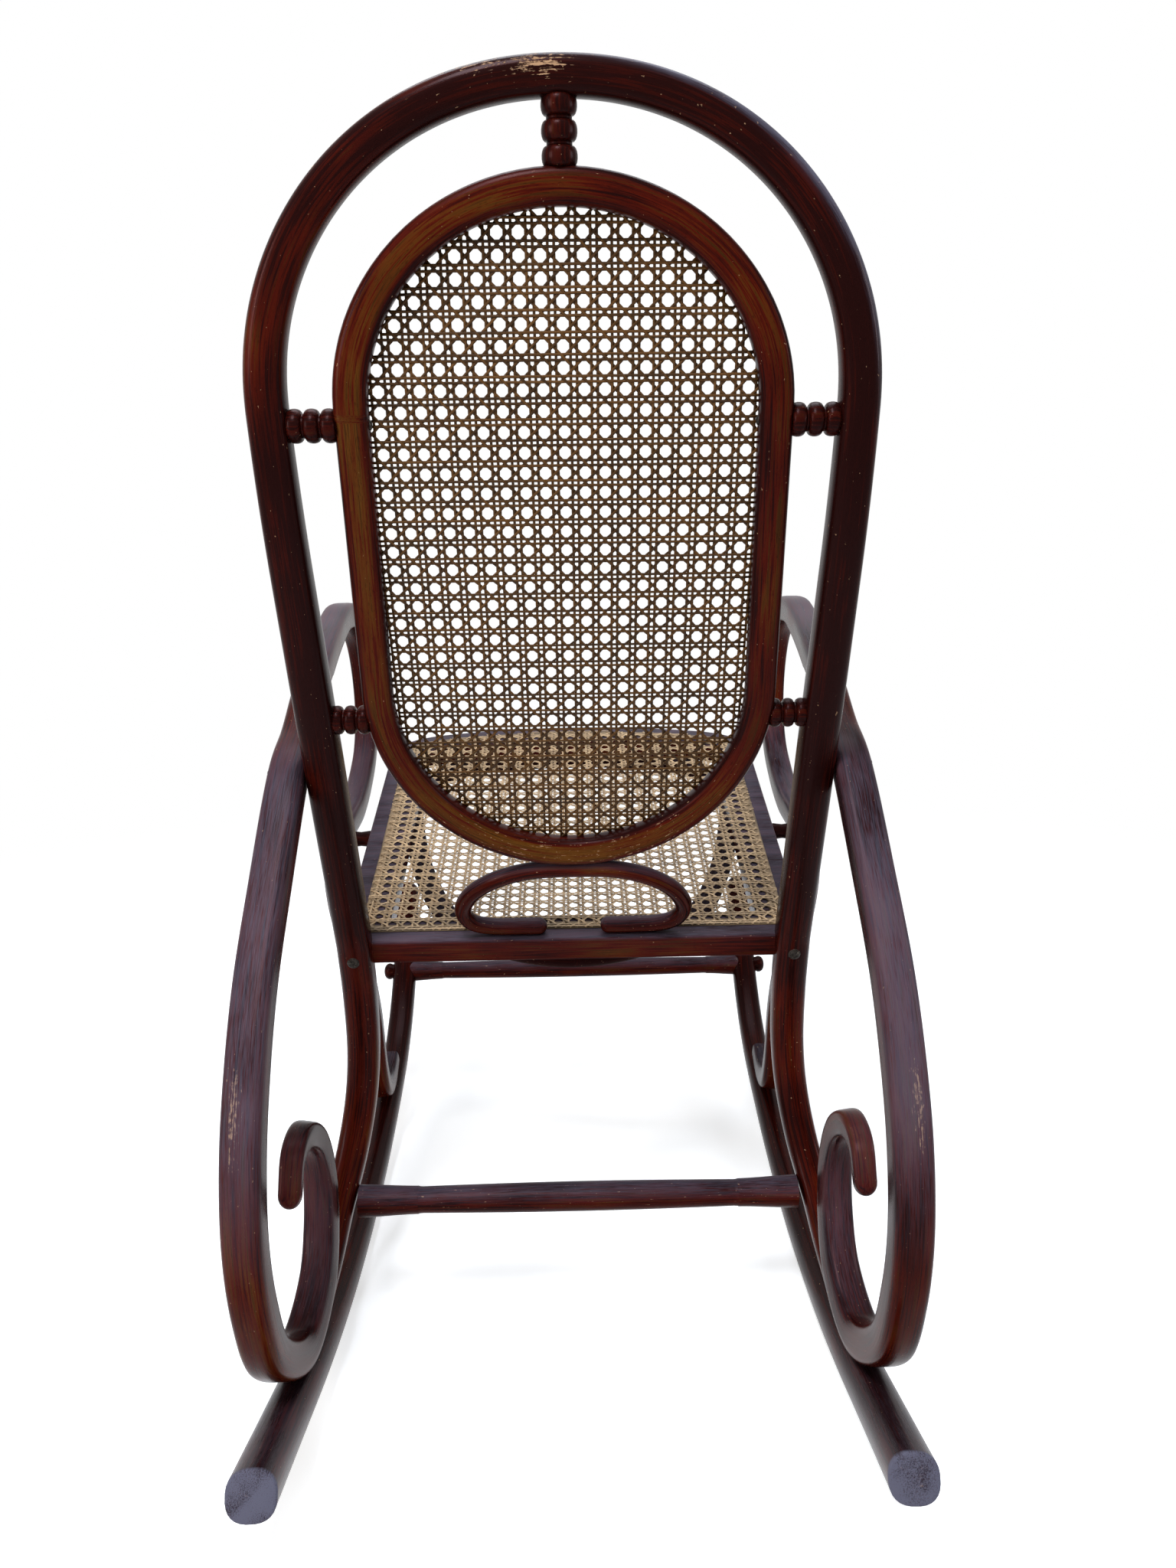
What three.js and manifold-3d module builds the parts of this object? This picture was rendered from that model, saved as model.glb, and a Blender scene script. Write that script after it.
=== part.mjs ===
// Bentwood rocking chair with a caned seat and a caned oval back, in millimetres.
// Z is up, the sitter faces -Y and X runs across the chair.
import * as THREE from "three";
import { mergeGeometries, mergeVertices } from "three/addons/utils/BufferGeometryUtils.js";
import Module from "manifold-3d";

const wasm = await Module();
wasm.setup();

// Overall sizes, all to the centreline of the bent rods.
const crestHeight = 1047;
const chairLength = 900;
const backHalfWidth = 201;
const postNarrowing = 2.5;
const postFootHalfWidth = backHalfWidth - postNarrowing;
const archRise = 197;
const archFullness = 2.08;
const runnerSpread = 35.5;
const runnerHalfSpacing = postFootHalfWidth + runnerSpread;
const rockRadius = 1200;
const rockCentreY = 30;
const restTilt = THREE.MathUtils.degToRad(7);

// Rods.
const postRadius = 15.5;
const springRadius = 14;
const crestRadius = 11.8;
const ankleRadius = 14;
const toeRadius = 11;
const ovalRadius = 12.5;
const ovalDepthRadius = 11;
const scrollRodRadius = 17.5;
const armRadius = 16.5;
const curlTipRadius = 10.5;
const armCurlRadius = 15.5;
const frontLegRadius = 14.5;
const runnerRearRadius = 18;
const runnerFrontRadius = 15.5;
const ornamentRadius = 7.5;
const hoopRadius = 11;

// Fits.
const clearance = 0.3;
const saddleDepth = 2.5;
const overrun = 20;
const sunkShare = 0.6;

// Facets round a thick rod and round a thin one.
const rodSides = 12;
const thinSides = 10;
const smallSides = 8;

// Back, seen from the side: a straight lean below, a bend, and an upright top.
const backTopShare = 0.371;
const backLean = 0.27;
const bendLowShare = 0.7;
const bendHighShare = 0.89;

// Seat's height above the runners' arc, where its rear edge meets the posts.
const seatHeight = 387;

// Oval frame that holds the back's cane, seen from behind: it fills the back between the crest and the seat.
const ovalTopSideGap = 56.5;
const ovalLowSideGap = 52;
const ovalTopHalfWidth = backHalfWidth - ovalTopSideGap;
const ovalLowHalfWidth = backHalfWidth - ovalLowSideGap;
const ovalTopGap = 61.5;
const ovalTopRise = 135.5;
const ovalLowGap = 99;
const ovalLowDrop = 150;
const ovalTopHeight = crestHeight - ovalTopGap;
const ovalTopSpring = ovalTopHeight - ovalTopRise;
const ovalLowHeight = seatHeight + ovalLowGap;
const ovalLowSpring = ovalLowHeight + ovalLowDrop;

// Turned bead connectors between the outer frame and the oval.
const beadRadius = 11.5;
const beadNeckRadius = 8;
const beadCount = 3;
const beadTenonRadius = 4;
const beadTenonLength = 8;
const upperBeadDrop = 9;
const lowerBeadDrop = 20;

// Seat.
const seatSlope = 0.105;
const seatDepth = 486;
const seatRearOverhang = 14;
const seatSpread = 5.5;
const seatRearHalfWidth = postFootHalfWidth + seatRearOverhang;
const seatFrontHalfWidth = seatRearHalfWidth + seatSpread;
const seatCornerRadius = 60;
const seatBow = 18;
const seatThickness = 23;
const seatRailWidth = 42;
const seatEdgeRounding = 2;
const seatTenonLength = 12;
const seatTenonWidth = 22;
const seatTenonThickness = 9;

// Cane nets, drawn coarser than the woven cane.
const netPitch = 44;
const netStrand = 9;
const netThickness = 2.2;
const seatNetMargin = 20;
const backNetSetForward = 5;

// Ornament between the oval and the seat.
const ornamentHalfWidth = 99;
const ornamentTipGap = 62;
const ornamentSetback = 11;

// Brace hoop below the seat.
const hoopRearSetback = 23;
const hoopFrontSetback = 25;
const hoopHalfWidth = 183;

// Stretchers, their end sleeves, and the knobs outside the runners.
const rearStretcherRadius = 12;
const rearStretcherSwell = 14;
const rearSleeveRadius = 15.5;
const rearSleeveLength = 56;
const frontStretcherRadius = 11;
const frontStretcherSwell = 12.5;
const frontSleeveRadius = 14;
const frontSleeveLength = 46;
const stretcherTenonRadius = 7.5;
const legTenonLength = 14;
const frontTenonLength = 20;
const knobRadius = 11;
const knobLength = 15;
const sleeveStepShare = 0.35;

// Dowels between the seat and the front supports.
const spacerRadius = 8;
const spacerLength = 22;
const spacerTenonRadius = 5;
const spacerTenonLength = 10;
const spacerSetback = 218;

// Bolts and screws.
const boltRadius = 2.8;
const boltHeadRadius = 6.5;
const boltHeadHeight = 3.2;
const armBoltReach = 14;
const seatBoltReach = 22;
const seatPlugRadius = 5.5;
const seatPlugDepth = 4;
const runnerScrewReach = 12;
const runnerScrewSink = 5;

// Runners.
const rearReach = 573;
const frontCurlStart = 130;
const frontCurlRadius = 300;
const frontCurlEnd = THREE.MathUtils.degToRad(60);
const frontStretcherAngle = THREE.MathUtils.degToRad(38.3);
const runnerToeIn = 5;
const toeInStart = 430;
const runnerSteps = 16;

const stainedBeech = new THREE.MeshStandardMaterial({ color: 0x43160f, roughness: 0.35, metalness: 0 });
const wornBeech = new THREE.MeshStandardMaterial({ color: 0x6b3a17, roughness: 0.4, metalness: 0 });
const seatCaneFinish = new THREE.MeshStandardMaterial({ color: 0xa58660, roughness: 0.7, metalness: 0 });
const backCaneFinish = new THREE.MeshStandardMaterial({ color: 0x6d4c2c, roughness: 0.7, metalness: 0 });
const darkSteel = new THREE.MeshStandardMaterial({ color: 0x4a4540, roughness: 0.45, metalness: 1 });

const chair = new THREE.Group();

function mirrored(points) {
  return points.map((point) => new THREE.Vector3(-point.x, point.y, point.z));
}

// Closed geometry as a solid that can be cut.
function solid(geometry) {
  const bare = new THREE.BufferGeometry();
  bare.setAttribute("position", geometry.getAttribute("position"));
  bare.setIndex(geometry.getIndex());
  const merged = mergeVertices(bare, 1e-4);
  const vertProperties = new Float32Array(merged.getAttribute("position").array);
  const triVerts = new Uint32Array(merged.getIndex().array);
  return new wasm.Manifold(new wasm.Mesh({ numProp: 3, vertProperties, triVerts }));
}

function geometryOf(body) {
  const mesh = body.getMesh();
  const positions = new THREE.BufferAttribute(new Float32Array(mesh.vertProperties), 3);
  const geometry = new THREE.BufferGeometry();
  geometry.setAttribute("position", positions);
  geometry.setIndex(Array.from(mesh.triVerts));
  geometry.computeVertexNormals();
  return geometry;
}

function addPiece(name, body, finish, parent = chair) {
  const mesh = new THREE.Mesh(geometryOf(body), finish);
  mesh.name = name;
  parent.add(mesh);
}

function cut(body, ...tools) {
  return tools.reduce((rest, tool) => rest.subtract(tool), body);
}

// The same solid on the other side of the chair, with its faces turned outward again.
function acrossMirror(body) {
  const geometry = geometryOf(body);
  const positions = geometry.getAttribute("position");
  for (let index = 0; index < positions.count; index++) {
    positions.setX(index, -positions.getX(index));
  }
  geometry.setIndex(Array.from(geometry.getIndex().array).reverse());
  return solid(geometry);
}

function bothSides(body) {
  return [body, acrossMirror(body)];
}

// Value along a list of [share of the way, value] stops.
function alongStops(stops, share) {
  for (let stop = 1; stop < stops.length; stop++) {
    const [endShare, endValue] = stops[stop];
    const [startShare, startValue] = stops[stop - 1];
    if (share <= endShare) {
      return THREE.MathUtils.mapLinear(share, startShare, endShare, startValue, endValue);
    }
  }
  return stops[stops.length - 1][1];
}

// Rings round a centreline, carried along it without twist.
function ringsAlong(centres, sizeAt, sides, closed, across) {
  const count = centres.length;
  let side = across.clone();
  return centres.map((centre, index) => {
    const ahead = closed ? centres[(index + 1) % count] : centres[Math.min(index + 1, count - 1)];
    const behind = closed ? centres[(index + count - 1) % count] : centres[Math.max(index - 1, 0)];
    const heading = ahead.clone().sub(behind).normalize();
    side = (closed ? across : side).clone();
    side.addScaledVector(heading, -side.dot(heading)).normalize();
    const up = heading.clone().cross(side);
    const [halfWidth, halfDepth] = sizeAt(index, count);
    const ring = [];
    for (let step = 0; step < sides; step++) {
      const angle = (step + 0.5) * 2 * Math.PI / sides;
      const point = centre.clone();
      point.addScaledVector(side, halfDepth * Math.cos(angle));
      point.addScaledVector(up, halfWidth * Math.sin(angle));
      ring.push(point);
    }
    return ring;
  });
}

// Skin over rings: a closed loop, or a bar with a flat cap at each end.
function skinOver(rings, closed) {
  const sides = rings[0].length;
  const points = rings.flat();
  const faces = [];
  const spans = closed ? rings.length : rings.length - 1;
  for (let span = 0; span < spans; span++) {
    const next = (span + 1) % rings.length;
    for (let side = 0; side < sides; side++) {
      const turn = (side + 1) % sides;
      const low = [span * sides + side, span * sides + turn];
      const high = [next * sides + side, next * sides + turn];
      faces.push(low[0], low[1], high[0], low[1], high[1], high[0]);
    }
  }
  if (!closed) {
    const last = (rings.length - 1) * sides;
    for (let side = 1; side < sides - 1; side++) {
      faces.push(0, side + 1, side, last, last + side, last + side + 1);
    }
  }
  const positions = new THREE.Float32BufferAttribute(points.flatMap((point) => point.toArray()), 3);
  const geometry = new THREE.BufferGeometry();
  geometry.setAttribute("position", positions);
  geometry.setIndex(faces);
  return geometry;
}

// Bent rod along centres. Its stops give the radius along the way, and a domed end is rounded off.
function bentRod(centres, stops, options = {}) {
  const { sides = rodSides, closed = false, across = new THREE.Vector3(1, 0, 0), grow = 0 } = options;
  const { depthShare = 1, domedStart = false, domedEnd = false } = options;
  const path = centres.slice();
  const domeShares = [[0.55, 0.84], [0.9, 0.4]];
  const scales = path.map(() => 1);
  const startRadius = stops[0][1];
  const endRadius = stops[stops.length - 1][1];
  if (domedStart) {
    const back = centres[0].clone().sub(centres[1]).normalize();
    for (const [reachShare, sizeShare] of domeShares) {
      path.unshift(centres[0].clone().addScaledVector(back, reachShare * startRadius));
      scales.unshift(sizeShare);
    }
  }
  if (domedEnd) {
    const on = centres[centres.length - 1].clone().sub(centres[centres.length - 2]).normalize();
    for (const [reachShare, sizeShare] of domeShares) {
      path.push(centres[centres.length - 1].clone().addScaledVector(on, reachShare * endRadius));
      scales.push(sizeShare);
    }
  }
  const sizeAt = (index, count) => {
    const radius = alongStops(stops, index / (count - 1)) * scales[index];
    return [radius + grow, radius * depthShare + grow];
  };
  return solid(skinOver(ringsAlong(path, sizeAt, sides, closed, across), closed));
}

// Distance from the axis of a small rod to the flats between its corners.
function flatRadius(radius) {
  return radius * Math.cos(Math.PI / smallSides);
}

// Smooth curve through points, at even steps.
function smoothPath(points, steps, closed = false) {
  const curve = new THREE.CatmullRomCurve3(points, closed, "centripetal");
  const path = curve.getSpacedPoints(steps);
  return closed ? path.slice(0, -1) : path;
}

// Turned piece whose profile of [distance along, radius] points runs from one axis end to the other.
function turned(profile, from, to, sides = rodSides) {
  const points = profile.map(([along, radius]) => new THREE.Vector2(radius, along));
  const geometry = new THREE.LatheGeometry(points, sides);
  const direction = to.clone().sub(from).normalize();
  const turn = new THREE.Quaternion().setFromUnitVectors(new THREE.Vector3(0, 1, 0), direction);
  geometry.applyQuaternion(turn);
  geometry.translate(from.x, from.y, from.z);
  return solid(geometry);
}

// Plain round bar between two points, for pins and for the holes that take them.
function bar(from, to, radius, sides = rodSides) {
  const length = from.distanceTo(to);
  return turned([[0, 0], [0, radius], [length, radius], [length, 0]], from, to, sides);
}

// Point a distance from one point towards another.
function towards(from, to, distance) {
  return from.clone().addScaledVector(to.clone().sub(from).normalize(), distance);
}

// Back: distance behind the resting point at a height, on the centreline of the frame.
function backAt(height) {
  const top = backTopShare * chairLength;
  const low = bendLowShare * crestHeight;
  const high = bendHighShare * crestHeight;
  if (height >= high) return top;
  const bent = high - Math.max(height, low);
  const straight = Math.max(low - height, 0);
  return top - backLean * (bent * bent / (high - low) / 2 + straight);
}

function backPoint(x, height) {
  return new THREE.Vector3(x, backAt(height), height);
}

// The posts stand a little closer together at the seat than where the arch begins.
function postAcross(height) {
  const spring = crestHeight - archRise;
  return THREE.MathUtils.mapLinear(height, seatHeight, spring, postFootHalfWidth, backHalfWidth);
}

// Point from a side view: shares of the chair's length and of the seat's height.
function sidePoint(x, [yShare, zShare]) {
  return new THREE.Vector3(x, yShare * chairLength, zShare * seatHeight);
}

// Runner: its tread is a wide arc, then the rod curls up at the front.
function runnerRadiusAt(y) {
  return THREE.MathUtils.mapLinear(y, -frontCurlStart, rearReach, runnerFrontRadius, runnerRearRadius);
}

function runnerAcross(y) {
  const share = Math.max(y - toeInStart, 0) / (rearReach - toeInStart);
  return runnerHalfSpacing - runnerToeIn * share * share;
}

// Height of a line that runs a fixed distance inside the tread's arc.
function heightInside(y, distance) {
  const radius = rockRadius - distance;
  const along = y - rockCentreY;
  return rockRadius - Math.sqrt(radius * radius - along * along);
}

// Angle round the arc's centre, measured to the rear from straight down.
function arcAngleAt(y) {
  return Math.asin((y - rockCentreY) / (rockRadius - runnerRadiusAt(y)));
}

const curlStartAngle = -arcAngleAt(-frontCurlStart);

function frontCurlPoint(angle) {
  const y = -frontCurlStart - frontCurlRadius * (Math.sin(angle) - Math.sin(curlStartAngle));
  const rise = frontCurlRadius * (Math.cos(curlStartAngle) - Math.cos(angle));
  return new THREE.Vector3(runnerHalfSpacing, y, heightInside(-frontCurlStart, runnerFrontRadius) + rise);
}

// Stations step evenly to both sides of the tread's resting stretch, so that it lies flat.
function runnerPath() {
  const path = [];
  const frontSteps = 8;
  const rearAngle = arcAngleAt(rearReach);
  const step = (rearAngle + curlStartAngle) / runnerSteps;
  const firstStation = Math.floor((rearAngle - restTilt) / step + 0.5) - 0.5;
  for (let station = firstStation; restTilt + station * step > -curlStartAngle; station--) {
    const angle = restTilt + station * step;
    const y = rockCentreY + (rockRadius - runnerFrontRadius) * Math.sin(angle);
    const radius = runnerRadiusAt(y);
    const arc = rockRadius - radius;
    const arcY = rockCentreY + arc * Math.sin(angle);
    path.push(new THREE.Vector3(runnerAcross(y), arcY, rockRadius - arc * Math.cos(angle)));
  }
  for (let index = 0; index <= frontSteps; index++) {
    path.push(frontCurlPoint(THREE.MathUtils.lerp(curlStartAngle, frontCurlEnd, index / frontSteps)));
  }
  return path;
}

const runnerRoute = runnerPath();
const runnerStops = [[0, runnerRearRadius], [0.65, runnerFrontRadius], [1, runnerFrontRadius]];

function runnerBody(grow = 0) {
  return bentRod(runnerRoute, runnerStops, { grow, domedEnd: true });
}

// Centre of a rod of some radius that is let into the runner's top.
function onRunner(y, radius) {
  const distance = 2 * runnerRadiusAt(y) + radius - saddleDepth;
  return new THREE.Vector3(runnerAcross(y), y, heightInside(y, distance));
}

// Outer frame: rear foot, post, arch, post and rear foot in one bent rod. The leg's points are shares of
// the way from the seat back to the ankle, of the seat's height and of the way out to the runner.
const legShares = [
  [-0.071, 0.854, 0.01],
  [-0.071, 0.7, 0.05],
  [0.003, 0.584, 0.17],
  [0.199, 0.468, 0.4],
  [0.51, 0.366, 0.7],
  [0.746, 0.289, 0.88],
];
const footSideShares = [0.36, 0.385, 0.409];
const rearAnkleLift = 9.2;

function rearFootPoints() {
  const top = backPoint(postFootHalfWidth, seatHeight);
  const ankle = onRunner(footSideShares[0] * chairLength, ankleRadius + rearAnkleLift);
  const leg = legShares.map(([backShare, heightShare, outShare]) => new THREE.Vector3(
    THREE.MathUtils.lerp(top.x, ankle.x, outShare),
    THREE.MathUtils.lerp(top.y, ankle.y, backShare),
    heightShare * seatHeight,
  ));
  const heel = onRunner(footSideShares[1] * chairLength, ankleRadius + clearance);
  const toe = onRunner(footSideShares[2] * chairLength, toeRadius + saddleDepth);
  return [top, ...leg, ankle, heel, toe];
}

const legSteps = 14;
const postSteps = 7;
const archSteps = 18;

function postPoints() {
  const points = [];
  for (let step = 1; step <= postSteps; step++) {
    const height = THREE.MathUtils.lerp(seatHeight, crestHeight - archRise, step / postSteps);
    points.push(backPoint(postAcross(height), height));
  }
  return points;
}

// The arch is a little fuller than half an ellipse.
function archPoints() {
  const spring = crestHeight - archRise;
  const points = [];
  for (let step = 1; step < archSteps; step++) {
    const angle = Math.PI * step / archSteps;
    const across = Math.sign(Math.cos(angle)) * Math.abs(Math.cos(angle)) ** (2 / archFullness);
    const up = Math.sin(angle) ** (2 / archFullness);
    points.push(backPoint(backHalfWidth * across, spring + archRise * up));
  }
  return points;
}

const legPoints = smoothPath(rearFootPoints(), legSteps).reverse();
const sidePoints = [...legPoints, ...postPoints()];
const outerRoute = [...sidePoints, ...archPoints(), ...mirrored(sidePoints).reverse()];
const outerHalfStops = [
  [0, toeRadius],
  [0.03, ankleRadius],
  [0.16, postRadius],
  [0.26, postRadius],
  [0.36, springRadius],
];
const outerStops = [
  ...outerHalfStops,
  [0.5, crestRadius],
  ...outerHalfStops.map(([share, radius]) => [1 - share, radius]).reverse(),
];

function outerBody(grow = 0) {
  return bentRod(outerRoute, outerStops, { grow });
}

// Outline of the oval on its centreline less an inset, as [across, height] pairs.
function ovalOutline(inset, sideSteps) {
  const outline = [];
  const bendSteps = 14;
  const topHalf = ovalTopHalfWidth - inset;
  const lowHalf = ovalLowHalfWidth - inset;
  const rise = ovalTopHeight - inset - ovalTopSpring;
  const drop = ovalLowSpring - ovalLowHeight - inset;
  const sidePair = (share) => [
    THREE.MathUtils.lerp(topHalf, lowHalf, share),
    THREE.MathUtils.lerp(ovalTopSpring, ovalLowSpring, share),
  ];
  for (let step = 0; step <= bendSteps; step++) {
    const angle = Math.PI * step / bendSteps;
    outline.push([topHalf * Math.cos(angle), ovalTopSpring + rise * Math.sin(angle)]);
  }
  for (let step = 1; step < sideSteps; step++) {
    const [x, height] = sidePair(step / sideSteps);
    outline.push([-x, height]);
  }
  for (let step = 0; step <= bendSteps; step++) {
    const angle = Math.PI * step / bendSteps;
    outline.push([-lowHalf * Math.cos(angle), ovalLowSpring - drop * Math.sin(angle)]);
  }
  for (let step = sideSteps - 1; step > 0; step--) {
    outline.push(sidePair(step / sideSteps));
  }
  return outline;
}

const ovalRoute = ovalOutline(0, 5).map(([x, height]) => backPoint(x, height));

function ovalBody(grow = 0) {
  const depthShare = ovalDepthRadius / ovalRadius;
  const across = new THREE.Vector3(0, 1, 0);
  return bentRod(ovalRoute, [[0, ovalRadius], [1, ovalRadius]], { closed: true, across, depthShare, grow });
}

// Half width of the oval's centreline at a height between its springs.
function ovalHalfWidthAt(height) {
  return THREE.MathUtils.mapLinear(height, ovalTopSpring, ovalLowSpring, ovalTopHalfWidth, ovalLowHalfWidth);
}

// Half width of the oval's opening at a height, to the oval's centreline less an inset.
function ovalOpeningAt(height, inset) {
  const top = ovalTopHeight - inset;
  const low = ovalLowHeight + inset;
  if (height >= top || height <= low) return 0;
  if (height > ovalTopSpring) {
    const share = (height - ovalTopSpring) / (top - ovalTopSpring);
    return (ovalTopHalfWidth - inset) * Math.sqrt(1 - share * share);
  }
  if (height < ovalLowSpring) {
    const share = (ovalLowSpring - height) / (ovalLowSpring - low);
    return (ovalLowHalfWidth - inset) * Math.sqrt(1 - share * share);
  }
  return ovalHalfWidthAt(height) - inset;
}

// Bead connectors: where each one starts on the outer frame's centreline and ends on the oval's.
const sideBeadEnds = [ovalTopSpring - upperBeadDrop, ovalLowSpring - lowerBeadDrop].map((height) => {
  return [backPoint(postAcross(height), height), backPoint(ovalOpeningAt(height, 0), height)];
});
const topBeadEnds = [backPoint(0, crestHeight), backPoint(0, ovalTopHeight)];
const beadEnds = {
  bead_top: topBeadEnds,
  bead_upper_right: mirrored(sideBeadEnds[0]),
  bead_upper_left: sideBeadEnds[0],
  bead_lower_right: mirrored(sideBeadEnds[1]),
  bead_lower_left: sideBeadEnds[1],
};

// Turned body of three beads, with a tenon at each end, before its ends are coped to the rods.
function beadBody([outer, inner], outerRodRadius) {
  const start = outerRodRadius - saddleDepth;
  const length = outer.distanceTo(inner) - start - (ovalRadius - saddleDepth);
  const beadLength = length / beadCount;
  const profile = [[-beadTenonLength, 0], [-beadTenonLength, beadTenonRadius], [0, beadTenonRadius]];
  for (let bead = 0; bead < beadCount; bead++) {
    const middle = (bead + 0.5) * beadLength;
    profile.push([bead * beadLength, beadNeckRadius]);
    profile.push([middle - beadLength / 4, beadRadius]);
    profile.push([middle + beadLength / 4, beadRadius]);
  }
  profile.push([length, beadNeckRadius], [length, beadTenonRadius]);
  profile.push([length + beadTenonLength, beadTenonRadius], [length + beadTenonLength, 0]);
  return turned(profile, towards(outer, inner, start), inner, thinSides);
}

function beadHole([outer, inner], grow) {
  const deep = beadTenonLength + clearance;
  const from = towards(outer, inner, crestRadius - saddleDepth - deep);
  const to = towards(inner, outer, ovalRadius - saddleDepth - deep);
  return bar(from, to, beadTenonRadius + grow, thinSides);
}

const beadHoles = Object.values(beadEnds).map((ends) => beadHole(ends, clearance));

// Seat frame's own coordinates: origin at the middle of the rear top edge, Z square to the seat.
const seatRear = backPoint(0, seatHeight);
const seatGroup = new THREE.Group();
seatGroup.position.copy(seatRear);
seatGroup.rotation.x = -Math.asin(seatSlope);
seatGroup.updateMatrixWorld(true);
chair.add(seatGroup);

function seatPoint(x, setback, lift) {
  return new THREE.Vector3(x, -setback, lift).applyMatrix4(seatGroup.matrixWorld);
}

function inSeatFrame(body) {
  const geometry = geometryOf(body);
  geometry.applyMatrix4(seatGroup.matrixWorld.clone().invert());
  return solid(geometry);
}

function seatHalfWidthAt(setback) {
  const straightEnd = seatDepth - seatBow - seatCornerRadius;
  return THREE.MathUtils.mapLinear(setback, 0, straightEnd, seatRearHalfWidth, seatFrontHalfWidth);
}

// Left half and right half of the seat's edge, drawn in by an inset, from rear to rear round the front.
function seatEdge(inset, rearSetback) {
  const frontY = -(seatDepth - seatBow) + inset;
  const cornerX = seatFrontHalfWidth - seatCornerRadius;
  const sideX = seatFrontHalfWidth - inset;
  const cornerY = frontY + 2 * seatBow * (sideX - cornerX) / cornerX;
  const straightEnd = frontY + seatCornerRadius - inset;
  const edge = new THREE.Path();
  edge.moveTo(-(seatHalfWidthAt(rearSetback) - inset), -rearSetback);
  edge.lineTo(-sideX, straightEnd);
  edge.quadraticCurveTo(-sideX, cornerY, -cornerX, frontY);
  edge.quadraticCurveTo(0, frontY - 2 * seatBow, cornerX, frontY);
  edge.quadraticCurveTo(sideX, cornerY, sideX, straightEnd);
  edge.lineTo(seatHalfWidthAt(rearSetback) - inset, -rearSetback);
  return edge.getPoints(6);
}

// Flat board from an outline, with its top face at a height and its edges eased.
function board(shape, thickness, top, easing) {
  const geometry = new THREE.ExtrudeGeometry(shape, {
    depth: thickness - 2 * easing,
    bevelEnabled: easing > 0,
    bevelThickness: easing,
    bevelSize: easing,
    bevelOffset: -easing,
    bevelSegments: 1,
  });
  geometry.translate(0, 0, top - thickness + easing);
  return solid(geometry);
}

function rectangle(halfWidth, rearY, frontY, middle = 0) {
  const shape = new THREE.Shape();
  shape.moveTo(middle - halfWidth, rearY);
  shape.lineTo(middle - halfWidth, frontY);
  shape.lineTo(middle + halfWidth, frontY);
  shape.lineTo(middle + halfWidth, rearY);
  return shape;
}

// Tenon of the bent rail in the rear rail, or the mortise for it when it is grown.
function seatTenon(side, grow) {
  const middle = side * (seatHalfWidthAt(seatRailWidth) - seatRailWidth / 2);
  const tip = -seatRailWidth + seatTenonLength + grow;
  const shape = rectangle(seatTenonWidth / 2 + grow, tip, -seatRailWidth - overrun, middle);
  const thickness = seatTenonThickness + 2 * grow;
  return board(shape, thickness, -(seatThickness - thickness) / 2, 0);
}

// Spacer dowels: from the seat's edge out to the front support's centreline.
const spacerSeatEnd = seatPoint(seatHalfWidthAt(spacerSetback), spacerSetback, -seatThickness / 2);
const spacerArmEnd = spacerSeatEnd.clone();
spacerArmEnd.x += spacerLength + armCurlRadius - saddleDepth;

function spacerBody() {
  const start = towards(spacerSeatEnd, spacerArmEnd, clearance);
  const length = spacerLength - clearance;
  const tenon = spacerTenonLength;
  const tenonRadius = spacerTenonRadius;
  const profile = [
    [-tenon, 0],
    [-tenon, tenonRadius],
    [0, tenonRadius],
    [0, spacerRadius],
    [length, spacerRadius],
    [length, tenonRadius],
    [length + tenon, tenonRadius],
    [length + tenon, 0],
  ];
  return turned(profile, start, spacerArmEnd, thinSides);
}

function spacerHole(grow) {
  const from = towards(spacerSeatEnd, spacerArmEnd, -spacerTenonLength - clearance);
  const to = towards(spacerSeatEnd, spacerArmEnd, spacerLength + spacerTenonLength + clearance);
  return bar(from, to, spacerTenonRadius + grow, thinSides);
}

// Arm and rear scroll: from the scarf joint on the armrest, past the post and round the scroll.
const armBeforePostShares = [
  [0.05, 1.5758],
  [0.111, 1.5676],
  [0.178, 1.5325],
  [0.233, 1.4947],
];
const armCrossingShare = 1.4595;
const armBehindPostShares = [
  [0.367, 1.2866],
  [0.434, 1.1487],
  [0.486, 1.0217],
  [0.519, 0.8919],
  [0.536, 0.7352],
  [0.537, 0.5838],
  [0.518, 0.4271],
];
const scrollFootShare = 0.448;
const scrollCurlShares = [
  [0.389, 0.3406],
  [0.353, 0.4271],
  [0.341, 0.5352],
  [0.354, 0.6514],
  [0.389, 0.7257],
  [0.424, 0.7338],
  [0.446, 0.6798],
];
const armOutwardShares = [0.7, 0.95, 0.87, 0.9, 1, 0.87, 0.65];
const scrollOutward = 8;
const scrollInward = 6;
const armFrontSideGap = 37;
const armFrontHalfSpacing = seatFrontHalfWidth + armFrontSideGap;
const armFrontYShare = -0.22;

const armCrossingHeight = armCrossingShare * seatHeight;
const armCrossingAcross = postAcross(armCrossingHeight) + postRadius + scrollRodRadius - saddleDepth;
const armCrossing = backPoint(armCrossingAcross, armCrossingHeight);
const scrollFoot = onRunner(scrollFootShare * chairLength, scrollRodRadius);

// The armrests open out towards the front.
function armAcross(y) {
  const opening = THREE.MathUtils.smoothstep(-y, -armCrossing.y, -armFrontYShare * chairLength);
  return THREE.MathUtils.lerp(armCrossing.x, armFrontHalfSpacing, opening);
}

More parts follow.
